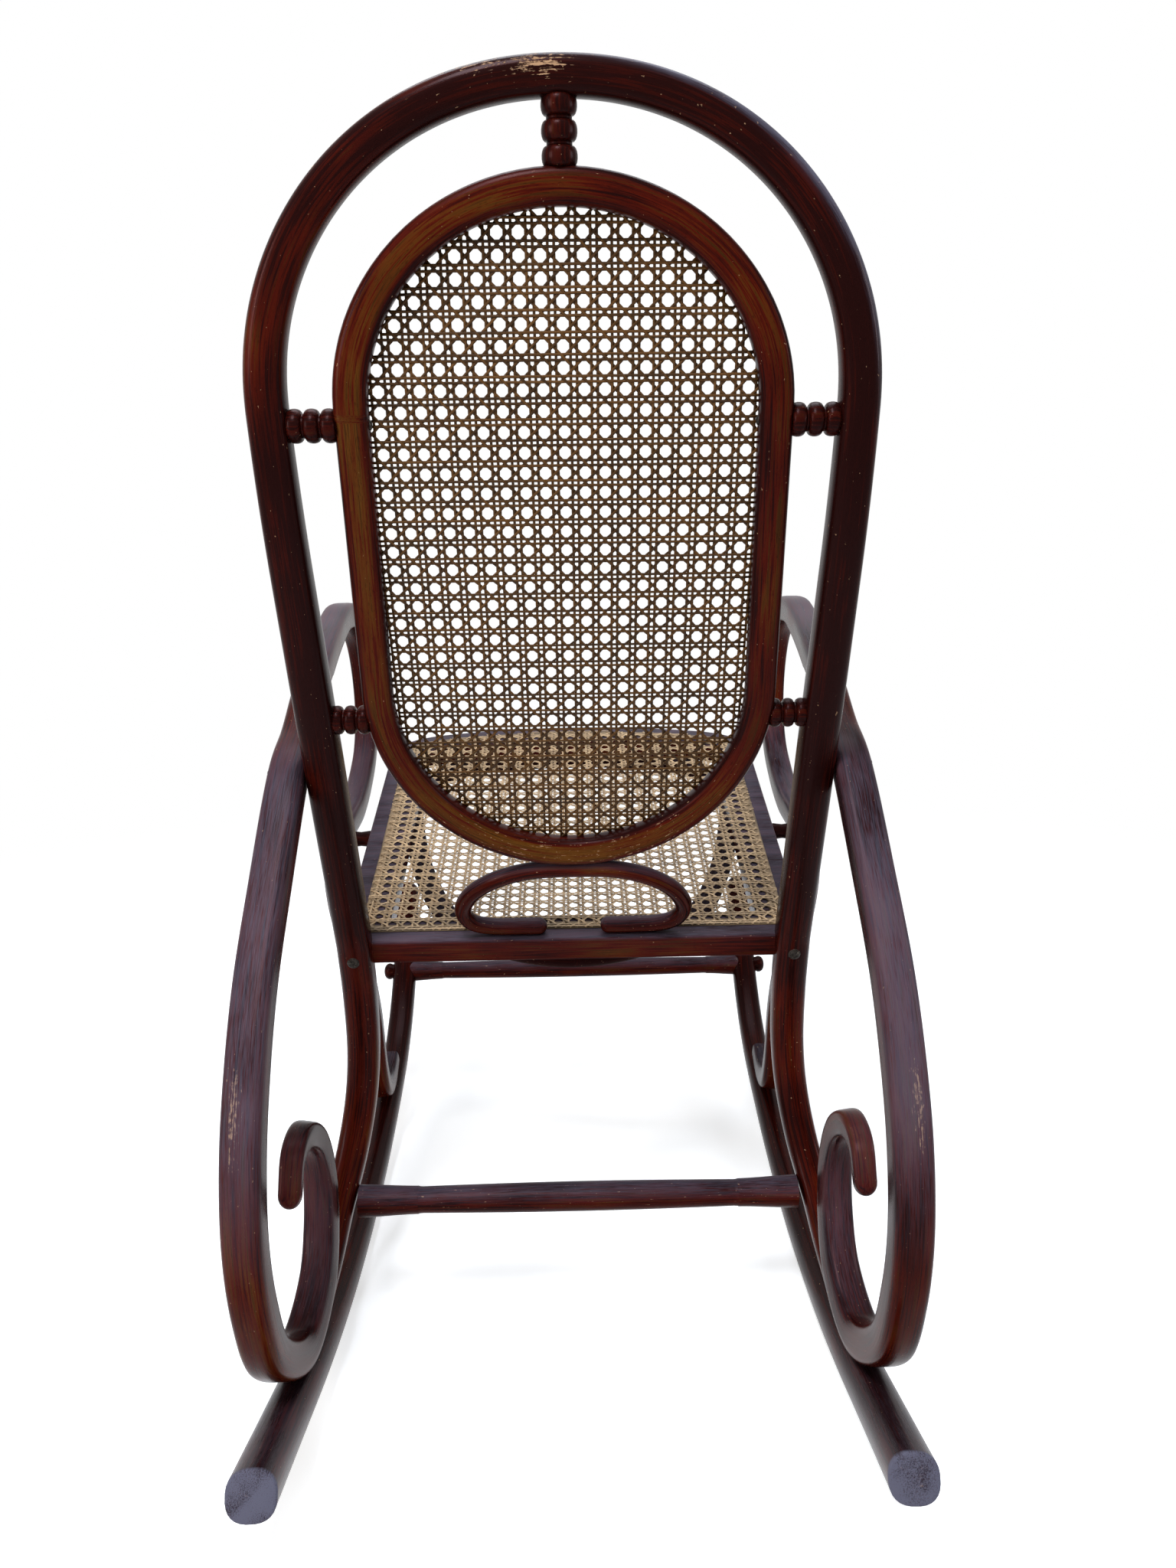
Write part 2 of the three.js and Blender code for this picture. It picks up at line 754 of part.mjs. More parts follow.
function armRoutePoints() {
  const beforePost = armBeforePostShares.map((shares) => {
    return sidePoint(armAcross(shares[0] * chairLength), shares);
  });
  const behindPost = armBehindPostShares.map((shares, index) => {
    const share = (index + 1) / (armBehindPostShares.length + 1);
    const straight = THREE.MathUtils.lerp(armCrossing.x, scrollFoot.x, share);
    return sidePoint(straight + scrollOutward * armOutwardShares[index], shares);
  });
  const curl = scrollCurlShares.map((shares) => sidePoint(scrollFoot.x - scrollInward, shares));
  return [...beforePost, armCrossing, ...behindPost, scrollFoot, ...curl];
}

const armSteps = 44;
const armRoute = smoothPath(armRoutePoints(), armSteps);
const armStops = [
  [0, armRadius],
  [0.1, armRadius],
  [0.25, scrollRodRadius],
  [0.72, scrollRodRadius],
  [0.85, armCurlRadius],
  [1, curlTipRadius],
];

function armBody(grow = 0) {
  return bentRod(armRoute, armStops, { grow, domedEnd: true });
}

// Front support: from the armrest round the front, back beside the seat and down to the runner.
const armFrontShares = [
  [0.156, 1.5487],
  [0.05, 1.5758],
  [-0.06, 1.5866],
  [-0.14, 1.5866],
  [-0.212, 1.5487],
  [-0.262, 1.4622],
  [-0.285, 1.3406],
  [-0.283, 1.2028],
  [-0.252, 1.0974],
  [-0.198, 1.0406],
  [-0.12, 1.0217],
];
const frontLegShares = [
  [0.03, 0.973],
  [0.036, 0.8784],
  [0.021, 0.7433],
  [-0.004, 0.6081],
  [-0.018, 0.4595],
  [-0.026, 0.2568],
];
const frontLegInwardShares = [0.1, 0.25, 0.5, 0.75, 0.95, 1];
const frontFootShares = [-0.0465, -0.085, -0.131];
const frontAnkleLift = 15.4;

function frontSupportPoints() {
  const curl = armFrontShares.map((shares) => sidePoint(armAcross(shares[0] * chairLength), shares));
  const leg = frontLegShares.map((shares, index) => {
    const inward = frontLegInwardShares[index];
    return sidePoint(THREE.MathUtils.lerp(spacerArmEnd.x, runnerHalfSpacing, inward), shares);
  });
  const lifts = [frontLegRadius + frontAnkleLift, frontLegRadius, toeRadius + saddleDepth];
  const foot = frontFootShares.map((share, index) => onRunner(share * chairLength, lifts[index]));
  return [...curl, spacerArmEnd, ...leg, ...foot];
}

const frontSteps = 37;
const frontRoute = smoothPath(frontSupportPoints(), frontSteps);
const frontStops = [
  [0, armRadius],
  [0.25, armRadius],
  [0.4, armCurlRadius],
  [0.6, armCurlRadius],
  [0.85, frontLegRadius],
  [0.95, frontLegRadius],
  [1, toeRadius],
];

function frontSupportBody(grow = 0) {
  return bentRod(frontRoute, frontStops, { grow });
}

// Scarf joint on the armrest: one long slanted face, cut on each of the two rods.
const scarfLength = 90;
const scarfSideShares = [0.1, 1.569];
const scarfCutterSize = 66;
const scarfCutterLength = 360;

function scarfCutter(forwardHalf) {
  const middle = sidePoint(armAcross(scarfSideShares[0] * chairLength), scarfSideShares);
  const geometry = new THREE.BoxGeometry(scarfCutterSize, scarfCutterLength, scarfCutterSize);
  const lift = (scarfCutterSize - clearance) / 2;
  geometry.translate(0, 0, forwardHalf ? lift : -lift);
  geometry.rotateX(Math.atan2(2 * armRadius, scarfLength));
  geometry.translate(middle.x, middle.y, middle.z);
  return solid(geometry);
}

// Ornament: an open bent loop whose two feet stand on the rear rail.
const ornamentSteps = 34;
const ornamentHalfShares = [
  [0, 1],
  [0.4, 0.965],
  [0.71, 0.81],
  [0.92, 0.57],
  [1, 0.29],
  [0.925, 0.09],
  [0.76, 0.012],
  [0.56, 0],
];
const ornamentFoot = seatPoint(0, ornamentSetback, flatRadius(ornamentRadius) + clearance);
const ornamentTop = backPoint(0, ovalLowHeight);
ornamentTop.z -= ovalRadius + ornamentRadius - saddleDepth;

function ornamentPoint(x, share) {
  const point = ornamentFoot.clone().lerp(ornamentTop, share);
  point.x = x;
  return point;
}

function ornamentBody() {
  const half = ornamentHalfShares.map(([xShare, share]) => ornamentPoint(xShare * ornamentHalfWidth, share));
  half.push(ornamentPoint(ornamentTipGap / 2, 0));
  const path = smoothPath([...mirrored(half).reverse(), ...half.slice(1)], ornamentSteps);
  const stops = [[0, ornamentRadius], [1, ornamentRadius]];
  const across = new THREE.Vector3(0, 1, 0);
  return bentRod(path, stops, { sides: smallSides, across, domedStart: true, domedEnd: true });
}

// Hoop below the seat, narrower at the rear, as [across, along] shares.
const hoopSteps = 34;
const hoopHalfShares = [
  [0.34, 0.035],
  [0.645, 0.142],
  [0.82, 0.313],
  [0.94, 0.518],
  [1, 0.712],
  [0.94, 0.861],
  [0.683, 0.959],
  [0.328, 0.993],
];

function hoopBody() {
  const rear = -hoopRearSetback;
  const front = -(seatDepth - hoopFrontSetback);
  const lift = -seatThickness - flatRadius(hoopRadius) - clearance;
  const place = ([xShare, share]) => new THREE.Vector3(
    xShare * hoopHalfWidth,
    THREE.MathUtils.lerp(rear, front, share),
    lift,
  );
  const half = hoopHalfShares.map(place);
  const points = [place([0, 0]), ...half, place([0, 1]), ...mirrored(half).reverse()];
  const across = new THREE.Vector3(0, 0, 1);
  const stops = [[0, hoopRadius], [1, hoopRadius]];
  return bentRod(smoothPath(points, hoopSteps, true), stops, { sides: smallSides, closed: true, across });
}

// Square gaps of a net, as prisms square to it, wherever their middles pass a test.
function netGaps(halfWidth, low, high, depth, passes) {
  const gap = netPitch - netStrand;
  const columns = Math.floor(halfWidth / netPitch);
  const rows = Math.floor((high - low) / netPitch) + 1;
  const boxes = [];
  for (let row = 0; row < rows; row++) {
    const y = (low + high) / 2 + (row - (rows - 1) / 2) * netPitch;
    for (let column = -columns; column <= columns; column++) {
      const x = column * netPitch;
      if (!passes(Math.abs(x), y)) continue;
      const box = new THREE.BoxGeometry(gap, gap, depth);
      box.translate(x, y, 0);
      boxes.push(box);
    }
  }
  return mergeGeometries(boxes);
}

function prism(outline, depth) {
  const shape = new THREE.Shape(outline.map(([x, y]) => new THREE.Vector2(x, y)));
  const geometry = new THREE.ExtrudeGeometry(shape, { depth, bevelEnabled: false });
  geometry.translate(0, 0, -depth / 2);
  return geometry;
}

// Sheet bent to the back's side profile, which has points only where it bends.
function backSheetBody() {
  const bendSteps = 8;
  const heights = [ovalLowHeight - overrun];
  for (let step = 0; step <= bendSteps; step++) {
    heights.push(crestHeight * THREE.MathUtils.lerp(bendLowShare, bendHighShare, step / bendSteps));
  }
  heights.push(ovalTopHeight + overrun);
  const rear = heights.map((height) => [backAt(height) - backNetSetForward, height]);
  const front = rear.map(([y, height]) => [y - netThickness, height]).reverse();
  const geometry = prism([...rear, ...front], 2 * ovalLowHalfWidth);
  const ahead = new THREE.Vector3(0, 1, 0);
  const up = new THREE.Vector3(0, 0, 1);
  const across = new THREE.Vector3(1, 0, 0);
  geometry.applyMatrix4(new THREE.Matrix4().makeBasis(ahead, up, across));
  return solid(geometry);
}

// Flat outline stood up facing the sitter, deep enough to pass right through the back.
function stoodUp(geometry) {
  geometry.rotateX(Math.PI / 2);
  geometry.translate(0, backAt(ovalLowSpring), 0);
  return solid(geometry);
}

function backNetBody() {
  const depth = chairLength / 2;
  const inset = ovalRadius + netStrand / 2;
  const farInset = inset + netStrand;
  const passes = (x, height) => x < ovalOpeningAt(height, farInset);
  const gaps = stoodUp(netGaps(ovalLowHalfWidth, ovalLowHeight, ovalTopHeight, depth, passes));
  const opening = stoodUp(prism(ovalOutline(inset, 1), depth));
  const edge = stoodUp(prism(ovalOutline(0, 1), depth));
  return cut(backSheetBody().intersect(edge), gaps.intersect(opening), ovalBody(clearance));
}

function seatNetBody() {
  const depth = 2 * seatThickness;
  const inset = seatRailWidth + netStrand / 2;
  const farInset = inset + netStrand;
  const cornerStart = seatDepth - seatBow - seatCornerRadius;
  const passes = (x, y) => {
    const corner = -y > cornerStart ? netStrand : 0;
    return x < seatHalfWidthAt(-y) - farInset - corner && -y > farInset && -y < seatDepth - farInset;
  };
  const gaps = solid(netGaps(seatFrontHalfWidth, -seatDepth, 0, depth, passes));
  const asPairs = (points) => points.map((point) => [point.x, point.y]);
  const opening = solid(prism(asPairs(seatEdge(inset, inset)), depth));
  const edge = prism(asPairs(seatEdge(seatNetMargin, seatNetMargin)), netThickness);
  edge.translate(0, 0, netThickness / 2 + clearance);
  return solid(edge).subtract(gaps.intersect(opening));
}

// Rear stretcher between the legs, with thicker sleeves at its ends.
const rearStretcherShare = 0.3757;

function legCentreAt(height) {
  const next = legPoints.findIndex((point) => point.z > height && point.y < footSideShares[0] * chairLength);
  const [low, high] = [legPoints[next - 1], legPoints[next]];
  return low.clone().lerp(high, (height - low.z) / (high.z - low.z));
}

const rearStretcherEnd = legCentreAt(rearStretcherShare * seatHeight);

function sleevedProfile(length, tenonLength, core, swell, sleeve, sleeveLength) {
  const step = core * sleeveStepShare;
  const half = [
    [-tenonLength, 0],
    [-tenonLength, stretcherTenonRadius],
    [0, stretcherTenonRadius],
    [0, sleeve],
    [sleeveLength - step, sleeve],
    [sleeveLength, core],
    [length / 2, swell],
  ];
  const farHalf = half.slice(0, -1).map(([along, radius]) => [length - along, radius]);
  return [...half, ...farHalf.reverse()];
}

function rearStretcherBody() {
  const inset = postRadius * sunkShare;
  const from = rearStretcherEnd.clone();
  from.x = -(rearStretcherEnd.x - inset);
  const to = rearStretcherEnd.clone();
  to.x = rearStretcherEnd.x - inset;
  const profile = sleevedProfile(
    from.distanceTo(to),
    legTenonLength - inset,
    rearStretcherRadius,
    rearStretcherSwell,
    rearSleeveRadius,
    rearSleeveLength,
  );
  return turned(profile, from, to);
}

function stretcherHole(end, deep, grow) {
  const to = end.clone();
  to.x = end.x + deep;
  const from = end.clone();
  from.x = -to.x;
  return bar(from, to, stretcherTenonRadius + grow);
}

// Front stretcher between the runners, whose knobs close the same holes from outside.
const frontStretcherEnd = frontCurlPoint(frontStretcherAngle);

function frontStretcherBody() {
  const face = frontStretcherEnd.x - runnerFrontRadius + saddleDepth;
  const from = frontStretcherEnd.clone().setX(-face);
  const to = frontStretcherEnd.clone().setX(face);
  const profile = sleevedProfile(
    2 * face,
    frontTenonLength,
    frontStretcherRadius,
    frontStretcherSwell,
    frontSleeveRadius,
    frontSleeveLength,
  );
  return turned(profile, from, to);
}

function knobBody() {
  const face = frontStretcherEnd.x + runnerFrontRadius - saddleDepth;
  const spigot = 2 * (runnerFrontRadius - saddleDepth) - frontTenonLength - clearance;
  const from = frontStretcherEnd.clone().setX(face);
  const to = frontStretcherEnd.clone().setX(face + knobLength);
  const domeShares = [[0.12, 0.8], [0.35, 1], [0.65, 0.95], [0.88, 0.62]];
  const dome = domeShares.map(([along, radius]) => [along * knobLength, radius * knobRadius]);
  const profile = [
    [-spigot, 0],
    [-spigot, stretcherTenonRadius],
    [0, stretcherTenonRadius],
    ...dome,
    [knobLength, 0],
  ];
  return turned(profile, from, to);
}

// Round-headed bolts that hold the arms to the posts.
function armBolt(grow) {
  const outside = armCrossing.clone();
  outside.x += armRadius;
  const inside = outside.clone();
  inside.x -= 2 * armRadius + armBoltReach;
  const reach = outside.x - inside.x;
  const radius = boltRadius + grow;
  const headSink = boltHeadHeight / 2;
  const profile = [
    [-headSink - grow, 0],
    [-headSink - grow, boltHeadRadius * sunkShare + grow],
    [0, boltHeadRadius + grow],
    [headSink, boltHeadRadius + grow],
    [headSink, radius],
    [reach + grow, radius],
    [reach + grow, 0],
  ];
  return turned(profile, outside, inside, smallSides);
}

// Bolts through the posts into the ends of the rear rail, closed by a small plug head.
function seatBolt(grow) {
  const head = seatPoint(postFootHalfWidth, -postRadius, -seatThickness / 2);
  const tip = seatPoint(postFootHalfWidth, seatBoltReach, -seatThickness / 2);
  const reach = head.distanceTo(tip);
  const radius = boltRadius + grow;
  const profile = [
    [-grow, 0],
    [-grow, seatPlugRadius + grow],
    [seatPlugDepth + grow, seatPlugRadius + grow],
    [seatPlugDepth + grow, radius],
    [reach + grow, radius],
    [reach + grow, 0],
  ];
  return turned(profile, head, tip, smallSides);
}

// Screws from below the runner into each foot and into the scroll.
const runnerScrewShares = [footSideShares[1], frontFootShares[1], scrollFootShare];

function runnerScrew(share, grow) {
  const y = share * chairLength;
  const x = runnerAcross(y);
  const low = new THREE.Vector3(x, y, heightInside(y, runnerScrewSink));
  const middle = new THREE.Vector3(x, rockCentreY, rockRadius);
  const high = towards(low, middle, 2 * runnerRadiusAt(y) - runnerScrewSink + runnerScrewReach);
  const reach = high.distanceTo(low);
  const radius = boltRadius + grow;
  const headLength = boltHeadRadius - boltRadius;
  const open = grow > 0 ? [[-overrun, 0], [-overrun, boltHeadRadius + grow]] : [[0, 0]];
  const profile = [
    ...open,
    [0, boltHeadRadius + grow],
    [headLength, radius],
    [reach + grow, radius],
    [reach + grow, 0],
  ];
  return turned(profile, low, high, smallSides);
}

const runnerScrewHoles = runnerScrewShares.map((share) => runnerScrew(share, clearance));
const boltHoles = [armBolt(clearance), seatBolt(clearance), ...runnerScrewHoles];

// Left side pieces, each mirrored for the right side.
const grownRunner = runnerBody(clearance);
const leftRunner = cut(
  runnerBody(),
  stretcherHole(frontStretcherEnd, runnerFrontRadius + overrun, clearance),
  ...runnerScrewHoles,
);
const leftArm = cut(armBody(), outerBody(clearance), grownRunner, scarfCutter(true), ...boltHoles);
const leftSupport = cut(
  frontSupportBody(),
  grownRunner,
  scarfCutter(false),
  spacerHole(clearance),
  ...boltHoles,
);
const grownSupport = frontSupportBody(clearance).subtract(spacerHole(clearance / 2));

// Grown runner that still has its stretcher hole, to cope what meets it there.
const grownRunnerWithHole = grownRunner.subtract(
  stretcherHole(frontStretcherEnd, runnerFrontRadius + overrun, clearance / 2),
);
const sidePieces = {
  runner: leftRunner,
  arm_scroll: leftArm,
  front_support: leftSupport,
  seat_spacer: cut(spacerBody(), grownSupport),
  stretcher_knob: cut(knobBody(), grownRunnerWithHole),
};
for (const [name, body] of Object.entries(sidePieces)) {
  addPiece(name + "_left", body, stainedBeech);
  addPiece(name + "_right", acrossMirror(body), stainedBeech);
}

// Grown scroll without its armrest, for the rear foot that it passes over.
function armToeCutter() {
  const low = new THREE.BoxGeometry(chairLength, chairLength, seatHeight / 2);
  low.translate(0, chairLength / 2, seatHeight / 4);
  return armBody(clearance).intersect(solid(low));
}

const outerFrame = cut(
  outerBody(),
  ...beadHoles,
  stretcherHole(rearStretcherEnd, legTenonLength + clearance - postRadius * sunkShare, clearance),
  ...boltHoles.flatMap(bothSides),
  ...bothSides(grownRunner),
  ...bothSides(armToeCutter()),
);
addPiece("back_frame", outerFrame, stainedBeech);

addPiece("back_oval_frame", cut(ovalBody(), ...beadHoles), wornBeech);
addPiece("back_cane", backNetBody(), backCaneFinish);

const tightBeadHoles = Object.values(beadEnds).map((ends) => beadHole(ends, clearance / 2));
const grownFrames = cut(outerBody(clearance), ...tightBeadHoles);
const grownOval = cut(ovalBody(clearance), ...tightBeadHoles);
for (const [name, ends] of Object.entries(beadEnds)) {
  const rodRadius = name === "bead_top" ? crestRadius : postRadius - saddleDepth / 2;
  addPiece(name, cut(beadBody(ends, rodRadius), grownFrames, grownOval), stainedBeech);
}

// Rear rail's top face and all below it, to flatten the feet that stand on it.
function belowSeatTop() {
  const slab = rectangle(seatRearHalfWidth, overrun, -seatRailWidth);
  const geometry = geometryOf(board(slab, seatThickness, clearance, 0));
  return solid(geometry.applyMatrix4(seatGroup.matrixWorld));
}

addPiece("back_ornament_scroll", cut(ornamentBody(), ovalBody(clearance), belowSeatTop()), stainedBeech);

// Seat: a straight rear rail between and behind the bent rail's ends.
const postsInSeatFrame = inSeatFrame(outerBody(clearance));
const seatBoltsInSeatFrame = bothSides(inSeatFrame(seatBolt(clearance)));
const spacerHolesInSeatFrame = bothSides(inSeatFrame(spacerHole(clearance)));
const rearRail = cut(
  board(rectangle(seatRearHalfWidth, 0, -seatRailWidth), seatThickness, 0, seatEdgeRounding),
  seatTenon(1, clearance),
  seatTenon(-1, clearance),
  postsInSeatFrame,
  ...seatBoltsInSeatFrame,
);
addPiece("seat_rear_rail", rearRail, wornBeech, seatGroup);

const bentRailStart = seatRailWidth + clearance;
const bentOutline = [...seatEdge(0, bentRailStart), ...seatEdge(seatRailWidth, bentRailStart).reverse()];
const bentRail = board(new THREE.Shape(bentOutline), seatThickness, 0, seatEdgeRounding)
  .add(seatTenon(1, 0))
  .add(seatTenon(-1, 0));
addPiece("seat_bent_rail", cut(bentRail, ...spacerHolesInSeatFrame), stainedBeech, seatGroup);
addPiece("seat_cane", seatNetBody(), seatCaneFinish, seatGroup);
addPiece("seat_brace_hoop", hoopBody(), stainedBeech, seatGroup);

const grownLegs = outerBody(clearance).subtract(
  stretcherHole(rearStretcherEnd, legTenonLength + overrun, clearance / 2),
);
addPiece("rear_stretcher", cut(rearStretcherBody(), grownLegs), stainedBeech);
addPiece("front_stretcher", cut(frontStretcherBody(), ...bothSides(grownRunnerWithHole)), stainedBeech);

// Fasteners.
const screwNames = ["rear_foot_screw", "front_foot_screw", "scroll_screw"];
const fasteners = {
  arm_bolt: armBolt(0),
  seat_bolt: seatBolt(0),
  ...Object.fromEntries(screwNames.map((name, index) => [name, runnerScrew(runnerScrewShares[index], 0)])),
};
for (const [name, body] of Object.entries(fasteners)) {
  addPiece(name + "_left", body, darkSteel);
  addPiece(name + "_right", acrossMirror(body), darkSteel);
}

// The empty chair rocks back to its resting tilt, and the origin is below its middle, on the floor.
chair.rotation.x = -restTilt;
const extent = new THREE.Box3().setFromObject(chair, true);
chair.position.y = -(extent.min.y + extent.max.y) / 2;
chair.position.z = -extent.min.z;

export default chair;
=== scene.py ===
import math

import bmesh
import bpy
import numpy as np
from bpy.props import FloatProperty, FloatVectorProperty, PointerProperty
from mathutils import Matrix, Vector


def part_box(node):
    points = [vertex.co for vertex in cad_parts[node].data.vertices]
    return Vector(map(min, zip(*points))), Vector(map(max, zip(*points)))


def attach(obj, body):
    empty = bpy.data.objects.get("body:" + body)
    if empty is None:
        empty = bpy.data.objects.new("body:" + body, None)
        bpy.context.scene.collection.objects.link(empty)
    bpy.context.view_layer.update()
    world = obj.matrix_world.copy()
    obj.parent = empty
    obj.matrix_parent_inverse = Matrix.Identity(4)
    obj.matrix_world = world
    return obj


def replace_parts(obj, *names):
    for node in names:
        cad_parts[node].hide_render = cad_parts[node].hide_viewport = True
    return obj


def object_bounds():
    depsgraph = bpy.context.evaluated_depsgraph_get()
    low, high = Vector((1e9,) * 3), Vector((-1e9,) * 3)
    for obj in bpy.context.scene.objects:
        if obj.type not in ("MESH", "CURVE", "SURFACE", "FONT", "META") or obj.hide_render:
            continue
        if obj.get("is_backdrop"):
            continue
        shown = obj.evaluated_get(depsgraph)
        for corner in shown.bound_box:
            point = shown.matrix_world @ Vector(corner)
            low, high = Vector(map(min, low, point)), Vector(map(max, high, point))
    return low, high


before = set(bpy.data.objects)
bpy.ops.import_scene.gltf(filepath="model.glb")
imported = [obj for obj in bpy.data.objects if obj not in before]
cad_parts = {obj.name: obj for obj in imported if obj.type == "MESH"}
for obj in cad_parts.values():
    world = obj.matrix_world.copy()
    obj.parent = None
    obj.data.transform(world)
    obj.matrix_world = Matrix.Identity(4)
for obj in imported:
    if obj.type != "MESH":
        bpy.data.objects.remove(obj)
CAD_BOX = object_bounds()

bl_info = {
    "name": "Bentwood rocking chair",
    "version": (1, 0, 0),
    "blender": (4, 5, 0),
    "location": "3D View > Sidebar > Rocker",
    "description": "Builds the stained beech rods, the woven cane and the stage of a bentwood rocking chair",
    "category": "Add Mesh",
}

# The chair is drawn upright, in metres, and then leaned back to the tilt at which it rests empty.
REST_TILT = math.radians(7)
CREST_HEIGHT = 1.047
CHAIR_LENGTH = 0.900
BACK_HALF_WIDTH = 0.201
POST_FOOT_HALF_WIDTH = 0.1985
ARCH_RISE = 0.197
ARCH_FULLNESS = 2.08
RUNNER_HALF_SPACING = 0.234
ROCK_RADIUS = 1.200
ROCK_CENTRE_Y = 0.030
SADDLE_DEPTH = 0.0025
CLEARANCE = 0.0003

# Back, seen from the side.
BACK_TOP_SHARE = 0.371
BACK_LEAN = 0.27
BEND_LOW_SHARE = 0.7
BEND_HIGH_SHARE = 0.89

# Oval frame, to its centreline.
OVAL_TOP_HALF_WIDTH = 0.1445
OVAL_LOW_HALF_WIDTH = 0.149
OVAL_TOP_HEIGHT = 0.9855
OVAL_TOP_SPRING = 0.850
OVAL_LOW_SPRING = 0.636
OVAL_LOW_HEIGHT = 0.486
OVAL_DEPTH_RADIUS = 0.011
UPPER_BEAD_HEIGHT = 0.841
LOWER_BEAD_HEIGHT = 0.616
CANE_SET_FORWARD = 0.006

# Seat.
SEAT_HEIGHT = 0.387
SEAT_SLOPE = 0.105
SEAT_DEPTH = 0.486
SEAT_REAR_HALF_WIDTH = 0.2125
SEAT_FRONT_HALF_WIDTH = 0.218
SEAT_CORNER_RADIUS = 0.060
SEAT_BOW = 0.018
SEAT_THICKNESS = 0.023
SEAT_RAIL_WIDTH = 0.042
SEAT_RAIL_GAP = 0.0002
SEAT_RAIL_ROUNDING = 0.003
SEAT_CANE_MARGIN = 0.0165
SEAT_STRAND_SHARE = 1.2
BORDER_WIDTH = 0.012

# Ornament and brace hoop.
ORNAMENT_HALF_WIDTH = 0.099
ORNAMENT_TIP_GAP = 0.062
ORNAMENT_SETBACK = 0.011
HOOP_REAR_SETBACK = 0.023
HOOP_FRONT_SETBACK = 0.025
HOOP_HALF_WIDTH = 0.183

# Runners.
REAR_REACH = 0.573
RUNNER_REAR_RADIUS = 0.018
RUNNER_FRONT_RADIUS = 0.0155
RUNNER_RIM = 0.0016
RUNNER_TIP_DEPTH = 0.0045
FRONT_CURL_START = 0.130
FRONT_CURL_RADIUS = 0.300
FRONT_CURL_END = math.radians(60)
RUNNER_TOE_IN = 0.005
TOE_IN_START = 0.430

# Side views, as shares of the chair's length and of the seat's height. The leg's points are shares of the way
# from the seat back to the ankle, of the seat's height, and of the way out to the runner.
LEG_SHARES = [
    (-0.071, 0.854, 0.01), (-0.071, 0.7, 0.05), (0.003, 0.584, 0.17), (0.199, 0.468, 0.4), (0.51, 0.366, 0.7),
    (0.746, 0.289, 0.88),
]
FOOT_SIDE_SHARES = [0.36, 0.385, 0.409]
REAR_ANKLE_LIFT = 0.0092
ARM_BEFORE_POST_SHARES = [(0.05, 1.5758), (0.111, 1.5676), (0.178, 1.5325), (0.233, 1.4947)]
ARM_CROSSING_SHARE = 1.4595
ARM_BEHIND_POST_SHARES = [
    (0.367, 1.2866), (0.434, 1.1487), (0.486, 1.0217), (0.519, 0.8919), (0.536, 0.7352), (0.537, 0.5838),
    (0.518, 0.4271),
]
ARM_OUTWARD_SHARES = [0.7, 0.95, 0.87, 0.9, 1, 0.87, 0.65]
SCROLL_FOOT_SHARE = 0.448
SCROLL_CURL_SHARES = [
    (0.389, 0.3406), (0.353, 0.4271), (0.341, 0.5352), (0.354, 0.6514), (0.389, 0.7257), (0.424, 0.7338),
    (0.446, 0.6798),
]
SCROLL_OUTWARD = 0.008
SCROLL_INWARD = 0.006
ARM_FRONT_HALF_SPACING = 0.255
ARM_FRONT_Y_SHARE = -0.22
ARM_FRONT_SHARES = [
    (0.156, 1.5487), (0.05, 1.5758), (-0.06, 1.5866), (-0.14, 1.5866), (-0.212, 1.5487), (-0.262, 1.4622),
    (-0.285, 1.3406), (-0.283, 1.2028), (-0.252, 1.0974), (-0.198, 1.0406), (-0.12, 1.0217),
]
FRONT_LEG_SHARES = [
    (0.03, 0.973), (0.036, 0.8784), (0.021, 0.7433), (-0.004, 0.6081), (-0.018, 0.4595), (-0.026, 0.2568),
]
FRONT_LEG_INWARD_SHARES = [0.1, 0.25, 0.5, 0.75, 0.95, 1]
FRONT_FOOT_SHARES = [-0.0465, -0.085, -0.131]
FRONT_ANKLE_LIFT = 0.0154
ORNAMENT_HALF_SHARES = [
    (0, 1), (0.4, 0.965), (0.71, 0.81), (0.92, 0.57), (1, 0.29), (0.925, 0.09), (0.76, 0.012), (0.56, 0),
]
HOOP_HALF_SHARES = [
    (0.34, 0.035), (0.645, 0.142), (0.82, 0.313), (0.94, 0.518), (1, 0.712), (0.94, 0.861), (0.683, 0.959),
    (0.328, 0.993),
]
SCARF_SHARES = (0.1, 1.569)
SCARF_LENGTH = 0.090
SPACER_SETBACK = 0.218
SPACER_LENGTH = 0.022

# Turned pieces, as radii and (distance, radius) profiles. A drawn stretcher ends at the legs' surface, and
# its node in the frame is longer by a tenon at each end.
STRETCHER_TENON = 0.0135
STRETCHER_SIZES = {
    "rear_stretcher": {"core": 0.0119, "swell": 0.0134, "sleeve": 0.0146, "sleeve_length": 0.056},
    "front_stretcher": {"core": 0.011, "swell": 0.0125, "sleeve": 0.014, "sleeve_length": 0.046},
}
SLEEVE_STEP = 0.0007
BEAD_RADIUS = 0.0115
BEAD_GROOVE_RADIUS = 0.0078
BEAD_GROOVE_LIP = 0.0004
BEAD_COLLAR_RADIUS = 0.0098
BEAD_SEATING_SHARE = 0.75
KNOB_LENGTH = 0.019
KNOB_RADIUS = 0.011
KNOB_NECK_PROFILE = [(0, 0.0075), (0.0035, 0.0078), (0.0042, 0.0092)]
SPACER_PROFILE = [
    (-0.001, 0.008), (0.0015, 0.0088), (0.006, 0.0082), (0.011, 0.0076), (0.016, 0.0082), (0.0205, 0.0088),
    (0.025, 0.008),
]

# Screw heads, as (radius, height), and how deep they sit in the wood.
ARM_BOLT_HEAD = (0.0065, 0.0024)
SEAT_BOLT_HEAD = (0.0055, 0.0012)
OVAL_SCREW_HEAD = (0.0034, 0.0014)
HEAD_SINK = 0.0006
OVAL_SCREW_SINK = 0.0004
SLOT_HALF_SHARE = 0.13
SLOT_DEPTH_SHARE = 0.7

